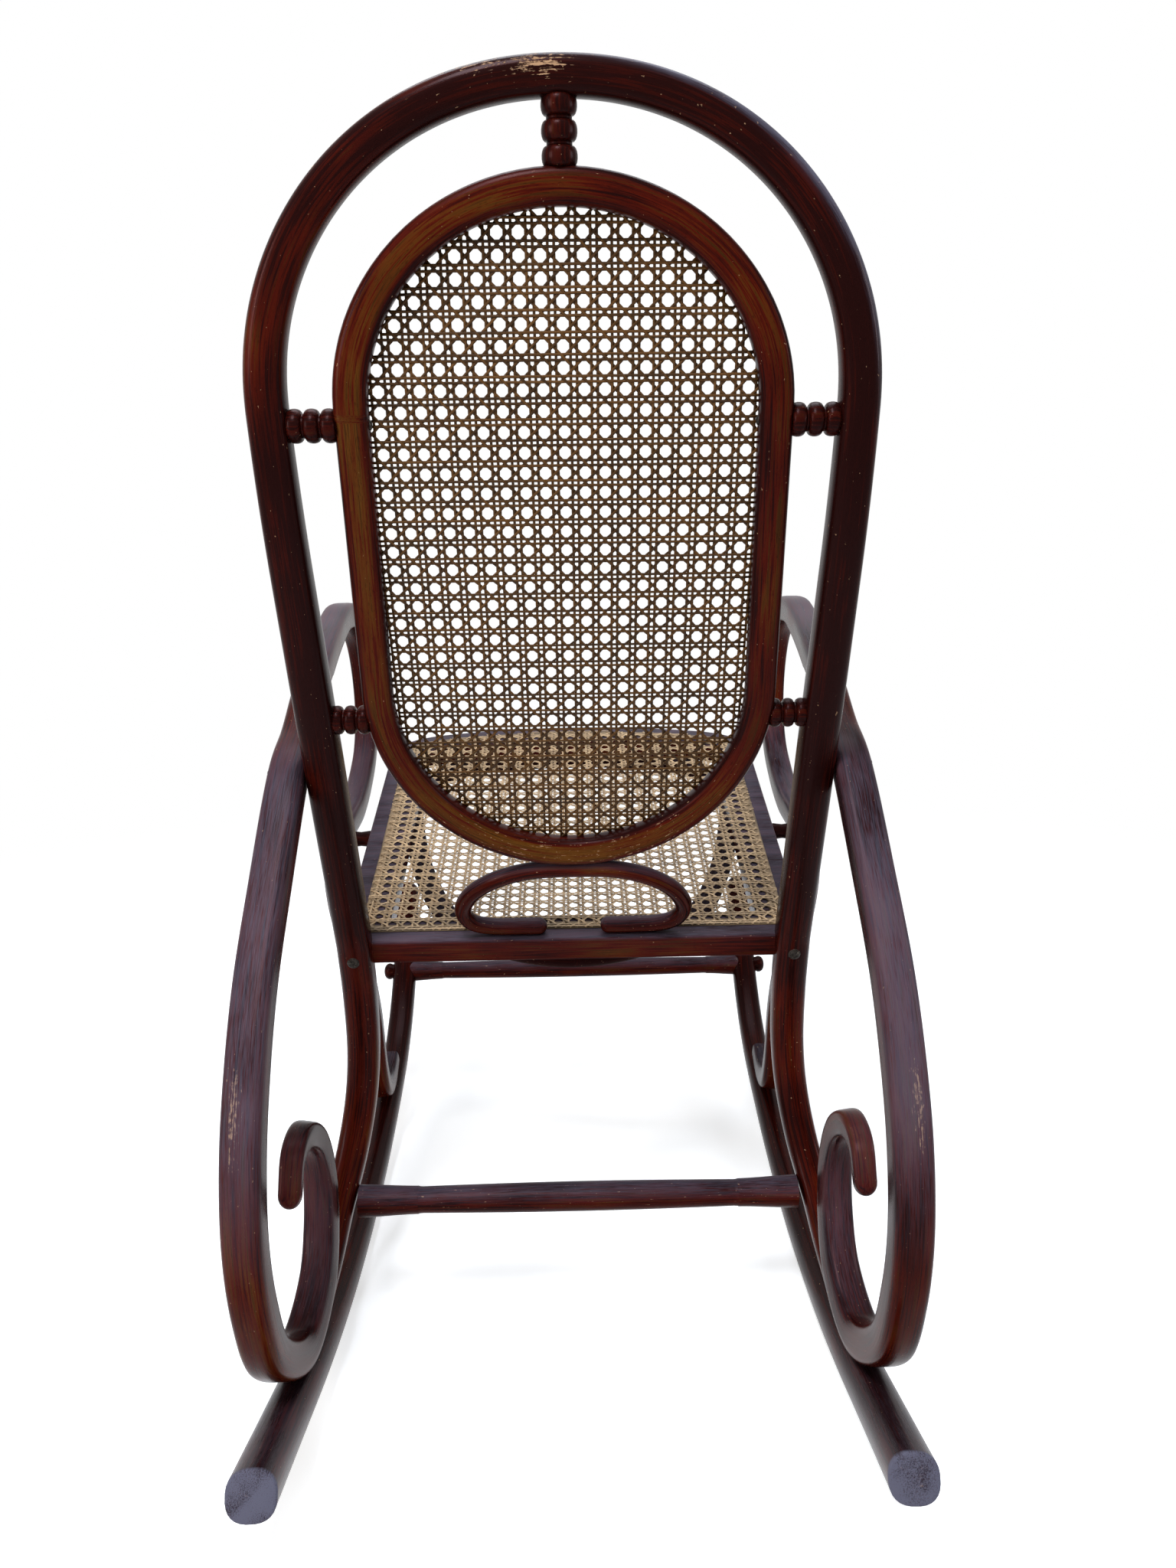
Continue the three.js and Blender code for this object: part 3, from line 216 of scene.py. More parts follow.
# The weave. Lifts are in thicknesses of a strand, sways in metres.
COLUMN_LIFTS = (0, 0.5)
ROW_LIFTS = (1.0, 1.4)
ROW_PAIR_SHARE = 0.85
DIAGONAL_LIFT = 0.6
DIAGONAL_WAVE = 1.3
STRAND_SWAY = 0.00012
STRAND_SECTION = [(-0.5, 0), (-0.28, 0.42), (0.28, 0.42), (0.5, 0), (0.28, -0.42), (-0.28, -0.42)]
STRAND_SEED = 7
STRAND_GRAIN_STEP = 0.05
SEAT_CANE_LIFT = 0.0009
BORDER_THICKNESS = 0.0004

# Mesh fineness.
RING_STEP = 0.005
FINE_STEP = 0.003
BORDER_STEP = 0.004
ROD_SIDES = 28
TURNED_SIDES = 40

# How far along its grain a right piece starts from its left twin, so that their streaks differ.
TWIN_GRAIN_SHIFT = 0.73

# How square a rod's section is: 2 is round.
ROUND = 2.0
POST_POWER = 3.0
ARM_POWER = 4.4
OVAL_POWER = 3.4
RUNNER_POWER = 2.5
ORNAMENT_POWER = 2.2

# Share of its round radius that a squarer section keeps across and in its depth.
ARM_ACROSS_SHARE = 0.86
ARM_DEPTH_SHARE = 0.88
OVAL_ACROSS_SHARE = 0.94
ARM_SECTION = {"power": ARM_POWER, "shares": (ARM_ACROSS_SHARE, ARM_DEPTH_SHARE)}

# Patterns of the finishes, as lengths along and across a strand or rod. Beech has pores and flecks about
# 0.1 mm wide, and cane has fibres about as fine. They are too fine to show, so they are drawn wider.
PORE_STREAK = (0.060, 0.0016)
STAIN_CLOUD = (0.110, 0.024)
RAY_FLECK = (0.0040, 0.0007)
SCRATCH = (0.020, 0.0009)
NICK = (0.0035, 0.0022)
STRAND_SHADE = (0.090, 0.0040)
CANE_FIBRE = (0.012, 0.0006)
CANE_STAIN = (0.030, 0.030)
TARNISH = (0.002, 0.002)

# Worn places in the upright drawing, each a (middle, reach, strength). The scrolls' are the left one's.
ARCH_WORN = [
    ((0.012, 0.345, 1.052), (0.030, 0.02, 0.009), 0.5), ((0.05, 0.34, 1.052), (0.05, 0.02, 0.008), 0.36),
]
SCROLL_RUBBED = [((0.262, 0.47, 0.36), (0.006, 0.05, 0.05), 0.5)]
SCROLL_BARE = [
    ((0.243, 0.475, 0.385), (0.0025, 0.04, 0.06), 0.75), ((0.262, 0.50, 0.27), (0.006, 0.03, 0.03), 0.35),
]

# Photograph's camera. It is turned aside so that what lies straight ahead shows in the axis pixel's column.
CAMERA_PLACE = (0, 1.160, 0.7473)
CAMERA_PITCH = math.radians(13)
CAMERA_ROLL = math.radians(1.05)
IMAGE_WIDTH = 1536
IMAGE_HEIGHT = 2048
FOCAL_PIXELS = 1540
AXIS_PIXEL = 746
SENSOR_WIDTH = 36

# Stage. A glow lifts the floor towards white where the camera sees it, and between the two distances from the
# middle it fades to plain white.
FLOOR_REACH = 30.0
FLOOR_GLOW = 0.62
FLOOR_FADE = (0.9, 2.0)
ROOM_STRENGTH = 0.15
WHITE = (1, 1, 1, 1)
COOL_LIGHT = (0.86, 0.92, 1.0)
WARM_LIGHT = (1.0, 0.97, 0.93)

# Each lamp as its place, what it aims at, its size, power and colour.
LAMPS = {
    "sky_panel": ((0.35, 1.4, 2.4), (0, 0.2, 0.5), (0.4, 0.7), 48, COOL_LIGHT),
    "window_left": ((1.9, 1.5, 1.1), (0, 0.3, 0.5), (0.25, 1.1), 28, WARM_LIGHT),
    "window_right": ((-2.2, 0.6, 1.3), (0, 0.2, 0.5), (0.25, 1.1), 24, COOL_LIGHT),
    "top_panel": ((0, -0.6, 2.6), (0, 0, 0.4), (1.6, 1.2), 30, COOL_LIGHT),
}


def linear(code, alpha=None):
    """Linear colour of an sRGB hex value."""
    channels = [int(code[start:start + 2], 16) / 255 for start in (1, 3, 5)]
    values = [c / 12.92 if c <= 0.04045 else ((c + 0.055) / 1.055) ** 2.4 for c in channels]
    return tuple(values) if alpha is None else (*values, alpha)


def length_property(name, description, default):
    return FloatProperty(
        name=name, description=description, default=default, min=0, unit="LENGTH", precision=4
    )


def colour_property(name, description, code):
    return FloatVectorProperty(
        name=name, description=description, default=linear(code), size=3, min=0, max=1, subtype="COLOR"
    )


class RodSizes(bpy.types.PropertyGroup):
    """Radii of the bent rods."""

    post: length_property("Post", "Radius of the back posts", 0.0155)
    spring: length_property("Arch spring", "Radius where the arch leaves the posts", 0.014)
    crest: length_property("Crest", "Radius at the top of the arch", 0.0118)
    ankle: length_property("Ankle", "Radius of the rear legs above the runner", 0.014)
    toe: length_property("Toe", "Radius at the toe of each leg", 0.011)
    oval: length_property("Oval", "Half width of the oval frame's rod", 0.0125)
    arm: length_property("Arm", "Radius of the armrest", 0.0165)
    scroll: length_property("Scroll", "Radius of the rear scroll", 0.0175)
    curl: length_property("Curl", "Radius of the bends of the arm", 0.0155)
    tip: length_property("Curl tip", "Radius at the scroll's tip", 0.0105)
    front_leg: length_property("Front leg", "Radius of the front legs", 0.0145)
    ornament: length_property("Ornament", "Radius of the ornament below the oval", 0.0075)
    hoop: length_property("Hoop", "Radius of the brace hoop below the seat", 0.011)


class WeaveSizes(bpy.types.PropertyGroup):
    """Sizes of the seven-step cane."""

    pitch: length_property("Pitch", "Distance between the middles of two holes", 0.014)
    pair_half: length_property("Pair", "Half the distance between the two strands of a pair", 0.0021)
    strand: length_property("Strand", "Width of a strand", 0.0019)
    thickness: length_property("Thickness", "Thickness of a strand", 0.0006)
    sag: length_property("Sag", "How far the seat has sunk in its middle", 0.004)


class Finishes(bpy.types.PropertyGroup):
    """Colours of the wood, the cane and the steel."""

    stain_dark: colour_property("Dark stain", "Stain where it lies thick", "#1b0605")
    stain_red: colour_property("Red stain", "Stain where light comes through it", "#471006")
    rubbed: colour_property("Rubbed stain", "Golden brown where the stain is rubbed thin", "#5a360f")
    bare: colour_property("Bare beech", "Bare wood in nicks and on worn edges", "#b08a68")
    # This grey is dust, the grey of the runners' rear tips, and a painted sheen where highlights fall on the
    # arch, the scrolls and upper faces.
    grime_and_sheen: colour_property("Grime", "Grey of weathered tips, dust and varnish gone milky", "#5e5d6c")
    seat_cane: colour_property("Seat cane", "Straw to tan cane of the seat", "#cbab85")
    # Its dark brown is browned cane and a painted shade, of the back's cane seen against the light.
    back_cane: colour_property("Back cane", "Browned cane of the back", "#5c3c1a")
    steel: colour_property("Steel", "Dulled steel of screws and bolts", "#37322e")


def sizes():
    return bpy.context.scene.rocker_rods


def weave_sizes():
    return bpy.context.scene.rocker_weave


def finishes():
    return bpy.context.scene.rocker_finishes


def point(x, y, z):
    return np.array([x, y, z], float)


def mirrored(points):
    return np.array(points) * (-1, 1, 1)


def unit(vectors):
    """The same directions, each with a length of one."""
    return vectors / np.linalg.norm(vectors, axis=-1, keepdims=True)


def rise(values, start, length):
    """0 before the start and 1 a length further on. A length below zero turns that round."""
    return np.clip((values - start) / length, 0, 1)


def even_radius(radius):
    """Stops of a rod that is equally thick all along."""
    return [(0, radius), (1, radius)]


def back_at(height):
    """How far behind the middle the back's centreline lies at a height."""
    low = BEND_LOW_SHARE * CREST_HEIGHT
    high = BEND_HIGH_SHARE * CREST_HEIGHT
    bent = high - min(max(height, low), high)
    straight = max(low - height, 0)
    return BACK_TOP_SHARE * CHAIR_LENGTH - BACK_LEAN * (bent * bent / (high - low) / 2 + straight)


def back_point(x, height):
    return point(x, back_at(height), height)


def post_across(height):
    """The posts stand a little closer together at the seat than where the arch begins."""
    share = (height - SEAT_HEIGHT) / (CREST_HEIGHT - ARCH_RISE - SEAT_HEIGHT)
    return POST_FOOT_HALF_WIDTH + share * (BACK_HALF_WIDTH - POST_FOOT_HALF_WIDTH)


def resting():
    """Matrix from the upright drawing to the chair at rest, fitted to the bolt of the left arm."""
    lean = Matrix.Rotation(-REST_TILT, 4, "X")
    height = ARM_CROSSING_SHARE * SEAT_HEIGHT
    drawn = lean @ Vector((0, back_at(height), height))
    low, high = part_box("arm_bolt_left")
    shift = (low + high) / 2 - drawn
    shift.x = 0
    return Matrix.Translation(shift) @ lean


REST = resting()


def smooth_curve(points, closed=False, steps=24):
    """Centripetal curve through points."""
    points = [np.array(p, float) for p in points]
    if closed:
        padded = [points[-1], *points, points[0], points[1]]
    else:
        padded = [2 * points[0] - points[1], *points, 2 * points[-1] - points[-2]]
    curve = []
    for p0, p1, p2, p3 in zip(padded, padded[1:], padded[2:], padded[3:]):
        d0, d1, d2 = (math.sqrt(np.linalg.norm(b - a)) for a, b in ((p0, p1), (p1, p2), (p2, p3)))
        t1 = ((p1 - p0) / d0 - (p2 - p0) / (d0 + d1) + (p2 - p1) / d1) * d1
        t2 = ((p2 - p1) / d1 - (p3 - p1) / (d1 + d2) + (p3 - p2) / d2) * d1
        for step in range(steps):
            u = step / steps
            curve.append(
                (2 * u**3 - 3 * u**2 + 1) * p1 + (u**3 - 2 * u**2 + u) * t1
                + (-2 * u**3 + 3 * u**2) * p2 + (u**3 - u**2) * t2
            )
    if not closed:
        curve.append(points[-1])
    return np.array(curve)


def distances(line):
    """How far along a line each of its points lies."""
    return np.concatenate([[0], np.cumsum(np.linalg.norm(np.diff(line, axis=0), axis=1))])


def evenly(points, step=RING_STEP, closed=False):
    """The same line with its points at even steps."""
    points = np.array(points, float)
    if closed:
        points = np.vstack([points, points[:1]])
    along = distances(points)
    count = max(int(round(along[-1] / step)), 2)
    places = np.linspace(0, along[-1], count + 1)
    line = np.column_stack([np.interp(places, along, points[:, axis]) for axis in range(3)])
    return line[:-1] if closed else line


def along_stops(stops, count):
    """Values along a rod from (share, value) stops, with the steps between them smoothed."""
    shares = np.linspace(0, 1, count)
    places, values = zip(*stops)
    line = np.interp(shares, places, values)
    width = max(count // 20, 1)
    padded = np.concatenate([np.full(width, line[0]), line, np.full(width, line[-1])])
    kernel = np.hanning(2 * width + 3)[1:-1]
    return np.convolve(padded, kernel / kernel.sum(), "valid")


def finished_object(name, mesh, material):
    piece = bpy.data.objects.new(name, mesh)
    bpy.context.scene.collection.objects.link(piece)
    mesh.materials.append(finish(material))
    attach(piece, "root")
    return piece


def mark_sharp(mesh, limit=math.radians(38)):
    """Smooth faces, with the edges sharper than a limit kept crisp."""
    work = bmesh.new()
    work.from_mesh(mesh)
    for face in work.faces:
        face.smooth = True
    for edge in work.edges:
        edge.smooth = edge.calc_face_angle(0) < limit
    work.to_mesh(mesh)
    work.free()


def make_mesh(name, vertices, faces, grain, patina):
    """Mesh at rest in the frame.

    Grain holds each point's place in the straight rod, and the second attribute how its finish has worn there
    and
    where light is painted on it: how thin the stain is, how much of the wood is bare, and how grey it is
    painted, for dust and for a painted sheen.
    """
    mesh = bpy.data.meshes.new(name)
    mesh.from_pydata([REST @ Vector(v) for v in vertices], [], faces)
    for label, values in (("grain", grain), ("patina", patina)):
        attribute = mesh.attributes.new(label, "FLOAT_VECTOR", "POINT")
        attribute.data.foreach_set("vector", np.array(values, np.float32).ravel())
    mesh.update()
    return mesh


def carried_sides(headings, reference, start):
    """Sideways direction at each ring, carried both ways from one ring without twist."""
    sides = np.zeros_like(headings)
    for order in (range(start, len(headings)), range(start, -1, -1)):
        carried = reference
        for index in order:
            carried = unit(carried - carried.dot(headings[index]) * headings[index])
            sides[index] = carried
    return sides


def domed(centres, radii, at_end, reach):
    """Adds the rings of a rounded end."""
    edge, inner = (-1, -2) if at_end else (0, 1)
    heading = unit(centres[edge] - centres[inner])
    angles = np.radians([18, 36, 52, 66, 78, 86])
    tip = np.array([centres[edge] + heading * radii[edge] * reach * math.sin(a) for a in angles])
    rim = np.array([radii[edge] * math.cos(a) for a in angles])
    if at_end:
        return np.vstack([centres, tip]), np.concatenate([radii, rim])
    return np.vstack([tip[::-1], centres]), np.concatenate([rim[::-1], radii])


def square_cut(centres, radii, size):
    """Turns the first ring into a square-cut end whose rim is rounded to a size."""
    heading = unit(centres[0] - centres[1])
    angles = np.radians([90, 68, 45, 22, 0])
    tip = np.array([centres[0] + heading * size * (math.sin(a) - 1) for a in angles])
    rim = [radii[0] - size * (1 - math.cos(a)) for a in angles]
    middle = tip[0] + heading * 0.3 * size
    return np.vstack([middle, tip, centres[1:]]), np.concatenate([[radii[0] * 0.45], rim, radii[1:]])


def plain_patina(vertices, outward):
    """No wear."""
    return np.zeros((len(vertices), 3))


def tube_faces(rings, sides, closed=False, base=0):
    """Faces between rings of points, and over both ends of an open tube."""
    faces = []
    for ring in range(rings if closed else rings - 1):
        here, there = base + ring * sides, base + (ring + 1) % rings * sides
        for side in range(sides):
            turn = (side + 1) % sides
            faces.append((here + side, here + turn, there + turn, there + side))
    if not closed:
        last = base + (rings - 1) * sides
        faces.append(tuple(range(base + sides - 1, base - 1, -1)))
        faces.append(tuple(range(last, last + sides)))
    return faces


def rod(name, centres, stops, reference=(1, 0, 0), **options):
    """Bent rod along centres.

    Its section is round, or squarer with a higher power, and shares narrow it across and in its depth. It
    lines up with the reference at the line's reference_share. Ends are domed or cut square.
    """
    closed = options.get("closed", False)
    power = options.get("power", ROUND)
    across_share, depth_share = options.get("shares", (1, 1))
    reference = np.array(reference, float)
    centres = np.array(centres, float)
    radii = along_stops(stops, len(centres))
    start = int(options.get("reference_share", 0) * (len(centres) - 1)) - len(centres)
    if "dome_start" in options:
        centres, radii = domed(centres, radii, False, options["dome_start"])
    if "square_start" in options:
        centres, radii = square_cut(centres, radii, options["square_start"])
    start += len(centres)
    if "dome_end" in options:
        centres, radii = domed(centres, radii, True, options["dome_end"])
    if closed:
        headings = unit(np.roll(centres, -1, axis=0) - np.roll(centres, 1, axis=0))
        sides = unit(reference - (headings @ reference)[:, None] * headings)
    else:
        headings = unit(np.gradient(centres, axis=0))
        sides = carried_sides(headings, reference, start)
    ups = np.cross(headings, sides)
    angles = (np.arange(ROD_SIDES) + 0.5) * 2 * math.pi / ROD_SIDES
    flat, high = (
        share * np.sign(wave) * np.abs(wave) ** (2 / power)
        for share, wave in ((across_share, np.cos(angles)), (depth_share, np.sin(angles)))
    )
    along = distances(centres)
    across = radii[:, None] * flat[None, :]
    upward = radii[:, None] * high[None, :]
    rings = centres[:, None] + sides[:, None] * across[..., None] + ups[:, None] * upward[..., None]
    grain = np.dstack([np.repeat(along[:, None], ROD_SIDES, 1), across, upward])
    vertices = rings.reshape(-1, 3)
    outward = (rings - centres[:, None]).reshape(-1, 3)
    outward = outward / np.maximum(np.linalg.norm(outward, axis=1), 1e-9)[:, None]
    patina = options.get("patina", plain_patina)(vertices, outward)
    faces = tube_faces(len(centres), ROD_SIDES, closed)
    return make_mesh(name, vertices, faces, grain.reshape(-1, 3), patina)


def turned(name, profile, start, end, patina=plain_patina):
    """Turned piece whose (distance, radius) profile runs from start towards end."""
    start, end = np.array(start, float), np.array(end, float)
    axis = unit(end - start)
    side = unit(np.cross(axis, (0, 1, 0) if abs(axis[1]) < 0.9 else (1, 0, 0)))
    up = np.cross(axis, side)
    angles = np.arange(TURNED_SIDES) * 2 * math.pi / TURNED_SIDES
    circle = np.cos(angles)[:, None] * side + np.sin(angles)[:, None] * up
    vertices, grain = [], []
    for distance, radius in profile:
        for angle, way in zip(angles, circle):
            vertices.append(start + axis * distance + way * radius)
            grain.append((distance, radius * math.cos(angle), radius * math.sin(angle)))
    worn = patina(np.array(vertices), np.tile(circle, (len(profile), 1)))
    return make_mesh(name, vertices, tube_faces(len(profile), TURNED_SIDES), grain, worn)


def patches(vertices, spots):
    """How near each point is to worn patches, each a (middle, reach, strength)."""
    worn = np.zeros(len(vertices))
    for middle, reach, strength in spots:
        away = np.linalg.norm((vertices - np.array(middle)) / np.array(reach), axis=1)
        worn = np.maximum(worn, strength * np.exp(-away * away))
    return worn


def mirror_mesh(name, mesh):
    """The same mesh on the other side, its faces turned outward again, with a stretch of grain of its own."""
    twin = mesh.copy()
    for place in twin.attributes["grain"].data:
        place.vector.x += TWIN_GRAIN_SHIFT
    twin.name = name
    twin.transform(Matrix.Scale(-1, 4, (1, 0, 0)))
    twin.flip_normals()
    return twin


def runner_radius_at(y):
    share = (y + FRONT_CURL_START) / (REAR_REACH + FRONT_CURL_START)
    return RUNNER_FRONT_RADIUS + share * (RUNNER_REAR_RADIUS - RUNNER_FRONT_RADIUS)


def runner_across(y):
    share = max(y - TOE_IN_START, 0) / (REAR_REACH - TOE_IN_START)
    return RUNNER_HALF_SPACING - RUNNER_TOE_IN * share * share


def height_inside(y, distance):
    return ROCK_RADIUS - math.sqrt((ROCK_RADIUS - distance) ** 2 - (y - ROCK_CENTRE_Y) ** 2)


def on_runner(y, radius):
    """Middle of a rod of some radius that is let into the runner's top."""
    return point(runner_across(y), y, height_inside(y, 2 * runner_radius_at(y) + radius - SADDLE_DEPTH))


CURL_START_ANGLE = math.asin((FRONT_CURL_START + ROCK_CENTRE_Y) / (ROCK_RADIUS - RUNNER_FRONT_RADIUS))


def front_curl_point(angle):
    y = -FRONT_CURL_START - FRONT_CURL_RADIUS * (math.sin(angle) - math.sin(CURL_START_ANGLE))
    rise = FRONT_CURL_RADIUS * (math.cos(CURL_START_ANGLE) - math.cos(angle))
    return point(RUNNER_HALF_SPACING, y, height_inside(-FRONT_CURL_START, RUNNER_FRONT_RADIUS) + rise)


def runner_line():
    """Left runner's centreline, from its rear tip to the curl."""
    tread = [
        point(runner_across(y), y, height_inside(y, runner_radius_at(y)))
        for y in np.linspace(REAR_REACH, -FRONT_CURL_START, 140)
    ]
    curl = [front_curl_point(a) for a in np.linspace(CURL_START_ANGLE, FRONT_CURL_END, 40)]
    return evenly([*tread, *curl[1:]])


def side_point(x, shares):
    return point(x, shares[0] * CHAIR_LENGTH, shares[1] * SEAT_HEIGHT)


def leg_line():
    """Left rear leg, from its toe up to the seat."""
    top = back_point(POST_FOOT_HALF_WIDTH, SEAT_HEIGHT)
    ankle, heel, toe = (
        on_runner(share * CHAIR_LENGTH, radius) for share, radius in zip(
            FOOT_SIDE_SHARES,
            [sizes().ankle + REAR_ANKLE_LIFT, sizes().ankle + CLEARANCE, sizes().toe + SADDLE_DEPTH],
        )
    )
    leg = [
        point(top[0] + out * (ankle[0] - top[0]), top[1] + back * (ankle[1] - top[1]), height * SEAT_HEIGHT)
        for back, height, out in LEG_SHARES
    ]
    return smooth_curve([top, *leg, ankle, heel, toe])[::-1]


def outer_line():
    """Outer frame, from the left toe over the arch to the right toe."""
    spring = CREST_HEIGHT - ARCH_RISE
    post = [back_point(post_across(height), height) for height in np.linspace(SEAT_HEIGHT, spring, 60)[1:]]
    power = 2 / ARCH_FULLNESS
    arch = [
        back_point(BACK_HALF_WIDTH * max(math.cos(a), 0) ** power, spring + ARCH_RISE * math.sin(a) ** power)
        for a in np.linspace(0, math.pi / 2, 50)[1:]
    ]
    half = np.array([*leg_line(), *post, *arch])
    return evenly(np.vstack([half, mirrored(half[:-1])[::-1]]))


def oval_line():
    """Oval's centreline: two half ellipses, joined by straight sides."""
    halves = (
        (OVAL_TOP_HALF_WIDTH, OVAL_TOP_SPRING, OVAL_TOP_HEIGHT - OVAL_TOP_SPRING),
        (-OVAL_LOW_HALF_WIDTH, OVAL_LOW_SPRING, -(OVAL_LOW_SPRING - OVAL_LOW_HEIGHT)),
    )
    outline = [
        back_point(half_width * math.cos(a), spring + reach * math.sin(a))
        for half_width, spring, reach in halves for a in np.linspace(0, math.pi, 48)
    ]
    return evenly(outline, closed=True)


def oval_half_width(height, inset):
    """Half width of the oval's opening at a height."""
    top, low = OVAL_TOP_HEIGHT - inset, OVAL_LOW_HEIGHT + inset
    if not low < height < top:
        return 0
    if height > OVAL_TOP_SPRING:
        share = (height - OVAL_TOP_SPRING) / (top - OVAL_TOP_SPRING)
        return (OVAL_TOP_HALF_WIDTH - inset) * math.sqrt(1 - share * share)
    if height < OVAL_LOW_SPRING:
        share = (OVAL_LOW_SPRING - height) / (OVAL_LOW_SPRING - low)
        return (OVAL_LOW_HALF_WIDTH - inset) * math.sqrt(1 - share * share)
    share = (height - OVAL_LOW_SPRING) / (OVAL_TOP_SPRING - OVAL_LOW_SPRING)
    return OVAL_LOW_HALF_WIDTH + share * (OVAL_TOP_HALF_WIDTH - OVAL_LOW_HALF_WIDTH) - inset


SEAT_ANGLE = -math.asin(SEAT_SLOPE)
SEAT_FRAME = Matrix.Translation(Vector(back_point(0, SEAT_HEIGHT))) @ Matrix.Rotation(SEAT_ANGLE, 4, "X")


def seat_point(x, setback, lift):
    return np.array(SEAT_FRAME @ Vector((x, -setback, lift)))


def seat_half_width(setback):
    share = setback / (SEAT_DEPTH - SEAT_BOW - SEAT_CORNER_RADIUS)
    return SEAT_REAR_HALF_WIDTH + share * (SEAT_FRONT_HALF_WIDTH - SEAT_REAR_HALF_WIDTH)


def quadratic(start, control, end, steps=14):
    start, control, end = (np.array(p, float) for p in (start, control, end))
    shares = np.linspace(0, 1, steps + 1)[1:]
    return [(1 - u) ** 2 * start + 2 * u * (1 - u) * control + u * u * end for u in shares]


def seat_edge(inset, rear):
    """Seat's edge drawn in by an inset, as (x, -setback).

    It runs from the right rear round the front to the left rear.
    """
    front = -(SEAT_DEPTH - SEAT_BOW) + inset
    corner_x = SEAT_FRONT_HALF_WIDTH - SEAT_CORNER_RADIUS
    side_x = SEAT_FRONT_HALF_WIDTH - inset
    corner_y = front + 2 * SEAT_BOW * (side_x - corner_x) / corner_x
    straight_end = front + SEAT_CORNER_RADIUS - inset
    half = seat_half_width(rear) - inset
    return [
        np.array((-half, -rear)), np.array((-side_x, straight_end)),
        *quadratic((-side_x, straight_end), (-side_x, corner_y), (-corner_x, front)),
        *quadratic((-corner_x, front), (0, front - 2 * SEAT_BOW), (corner_x, front)),
        *quadratic((corner_x, front), (side_x, corner_y), (side_x, straight_end)),
        np.array((half, -rear)),
    ]


def arm_crossing():
    height = ARM_CROSSING_SHARE * SEAT_HEIGHT
    return back_point(post_across(height) + sizes().post + sizes().scroll - SADDLE_DEPTH, height)


def arm_across(y):
    """The armrests open out towards the front."""
    crossing = arm_crossing()
    share = (crossing[1] - y) / (crossing[1] - ARM_FRONT_Y_SHARE * CHAIR_LENGTH)
    share = min(max(share, 0), 1)
    opening = share * share * (3 - 2 * share)
    return crossing[0] + opening * (ARM_FRONT_HALF_SPACING - crossing[0])


def arm_line():
    """Left arm, from the armrest past the post and round the scroll."""
    crossing = arm_crossing()
    foot = on_runner(SCROLL_FOOT_SHARE * CHAIR_LENGTH, sizes().scroll)
    before = [side_point(arm_across(shares[0] * CHAIR_LENGTH), shares) for shares in ARM_BEFORE_POST_SHARES]
    behind = []
    for index, (shares, outward) in enumerate(zip(ARM_BEHIND_POST_SHARES, ARM_OUTWARD_SHARES)):
        share = (index + 1) / (len(ARM_BEHIND_POST_SHARES) + 1)
        straight = crossing[0] + share * (foot[0] - crossing[0])
        behind.append(side_point(straight + SCROLL_OUTWARD * outward, shares))
    curl = [side_point(foot[0] - SCROLL_INWARD, shares) for shares in SCROLL_CURL_SHARES]
    return evenly(smooth_curve([*before, crossing, *behind, foot, *curl]))


def spacer_ends():
    inner = seat_point(seat_half_width(SPACER_SETBACK), SPACER_SETBACK, -SEAT_THICKNESS / 2)
    outer = inner + point(SPACER_LENGTH + sizes().curl - SADDLE_DEPTH, 0, 0)
    return inner, outer


def front_line():
    """Left front support, from the armrest round the front, back beside the seat and down to the runner."""
    outer = spacer_ends()[1]
    curl = [side_point(arm_across(shares[0] * CHAIR_LENGTH), shares) for shares in ARM_FRONT_SHARES]
    leg = [
        side_point(outer[0] + inward * (RUNNER_HALF_SPACING - outer[0]), shares)
        for shares, inward in zip(FRONT_LEG_SHARES, FRONT_LEG_INWARD_SHARES)
    ]
    lifts = [sizes().front_leg + FRONT_ANKLE_LIFT, sizes().front_leg, sizes().toe + SADDLE_DEPTH]
    foot = [on_runner(share * CHAIR_LENGTH, lift) for share, lift in zip(FRONT_FOOT_SHARES, lifts)]
    return evenly(smooth_curve([*curl, outer, *leg, *foot]))


def add_node(tree, kind, values=None, **settings):
    """Adds a node. A value may be a number, a colour, or another node's output to link from."""
    node = tree.nodes.new(kind)
    for key, value in settings.items():
        setattr(node, key, value)
    for key, value in (values or {}).items():
        socket = node.inputs[key]
        if isinstance(value, bpy.types.NodeSocket):
            tree.links.new(value, socket)
        else:
            socket.default_value = value
    return node


def ramp(tree, source, stops):
    """Colour ramp over (place, colour) stops."""
    node = add_node(tree, "ShaderNodeValToRGB", {"Fac": source})
    elements = node.color_ramp.elements
    while len(elements) < len(stops):
        elements.new(0.5)
    for element, (place, shade) in zip(elements, stops):
        element.position = place
        element.color = shade if len(shade) == 4 else (*shade, 1)
    return node.outputs["Color"]


def mix(tree, share, first, second):
    values = {"Factor": share, "A": first, "B": second}
    node = tree.nodes.new("ShaderNodeMix")
    node.data_type = "RGBA"
    for socket in node.inputs:
        if socket.name in values and socket.enabled:
            value = values[socket.name]
            if isinstance(value, bpy.types.NodeSocket):
                tree.links.new(value, socket)
            elif socket.type == "RGBA" and len(value) == 3:
                socket.default_value = (*value, 1)
            else:
                socket.default_value = value
    return next(out for out in node.outputs if out.enabled)


def calculate(tree, operation, *values, clamp=False):
    node = add_node(tree, "ShaderNodeMath", operation=operation, use_clamp=clamp)
    for socket, value in zip(node.inputs, values):
        if isinstance(value, bpy.types.NodeSocket):
            tree.links.new(value, socket)
        else:
            socket.default_value = value
    return node.outputs[0]


def weighed(tree, first, weight, second, other_weight):
    """Sum of two patterns, each times its weight."""
    return calculate(tree, "MULTIPLY_ADD", first, weight, calculate(tree, "MULTIPLY", second, other_weight))


def between(tree, source, low, high, most=1.0):
    """0 below low, the most above high, and smooth in between."""
    values = {"Value": source, "From Min": low, "From Max": high, "To Max": most}
    return add_node(tree, "ShaderNodeMapRange", values, interpolation_type="SMOOTHSTEP").outputs["Result"]


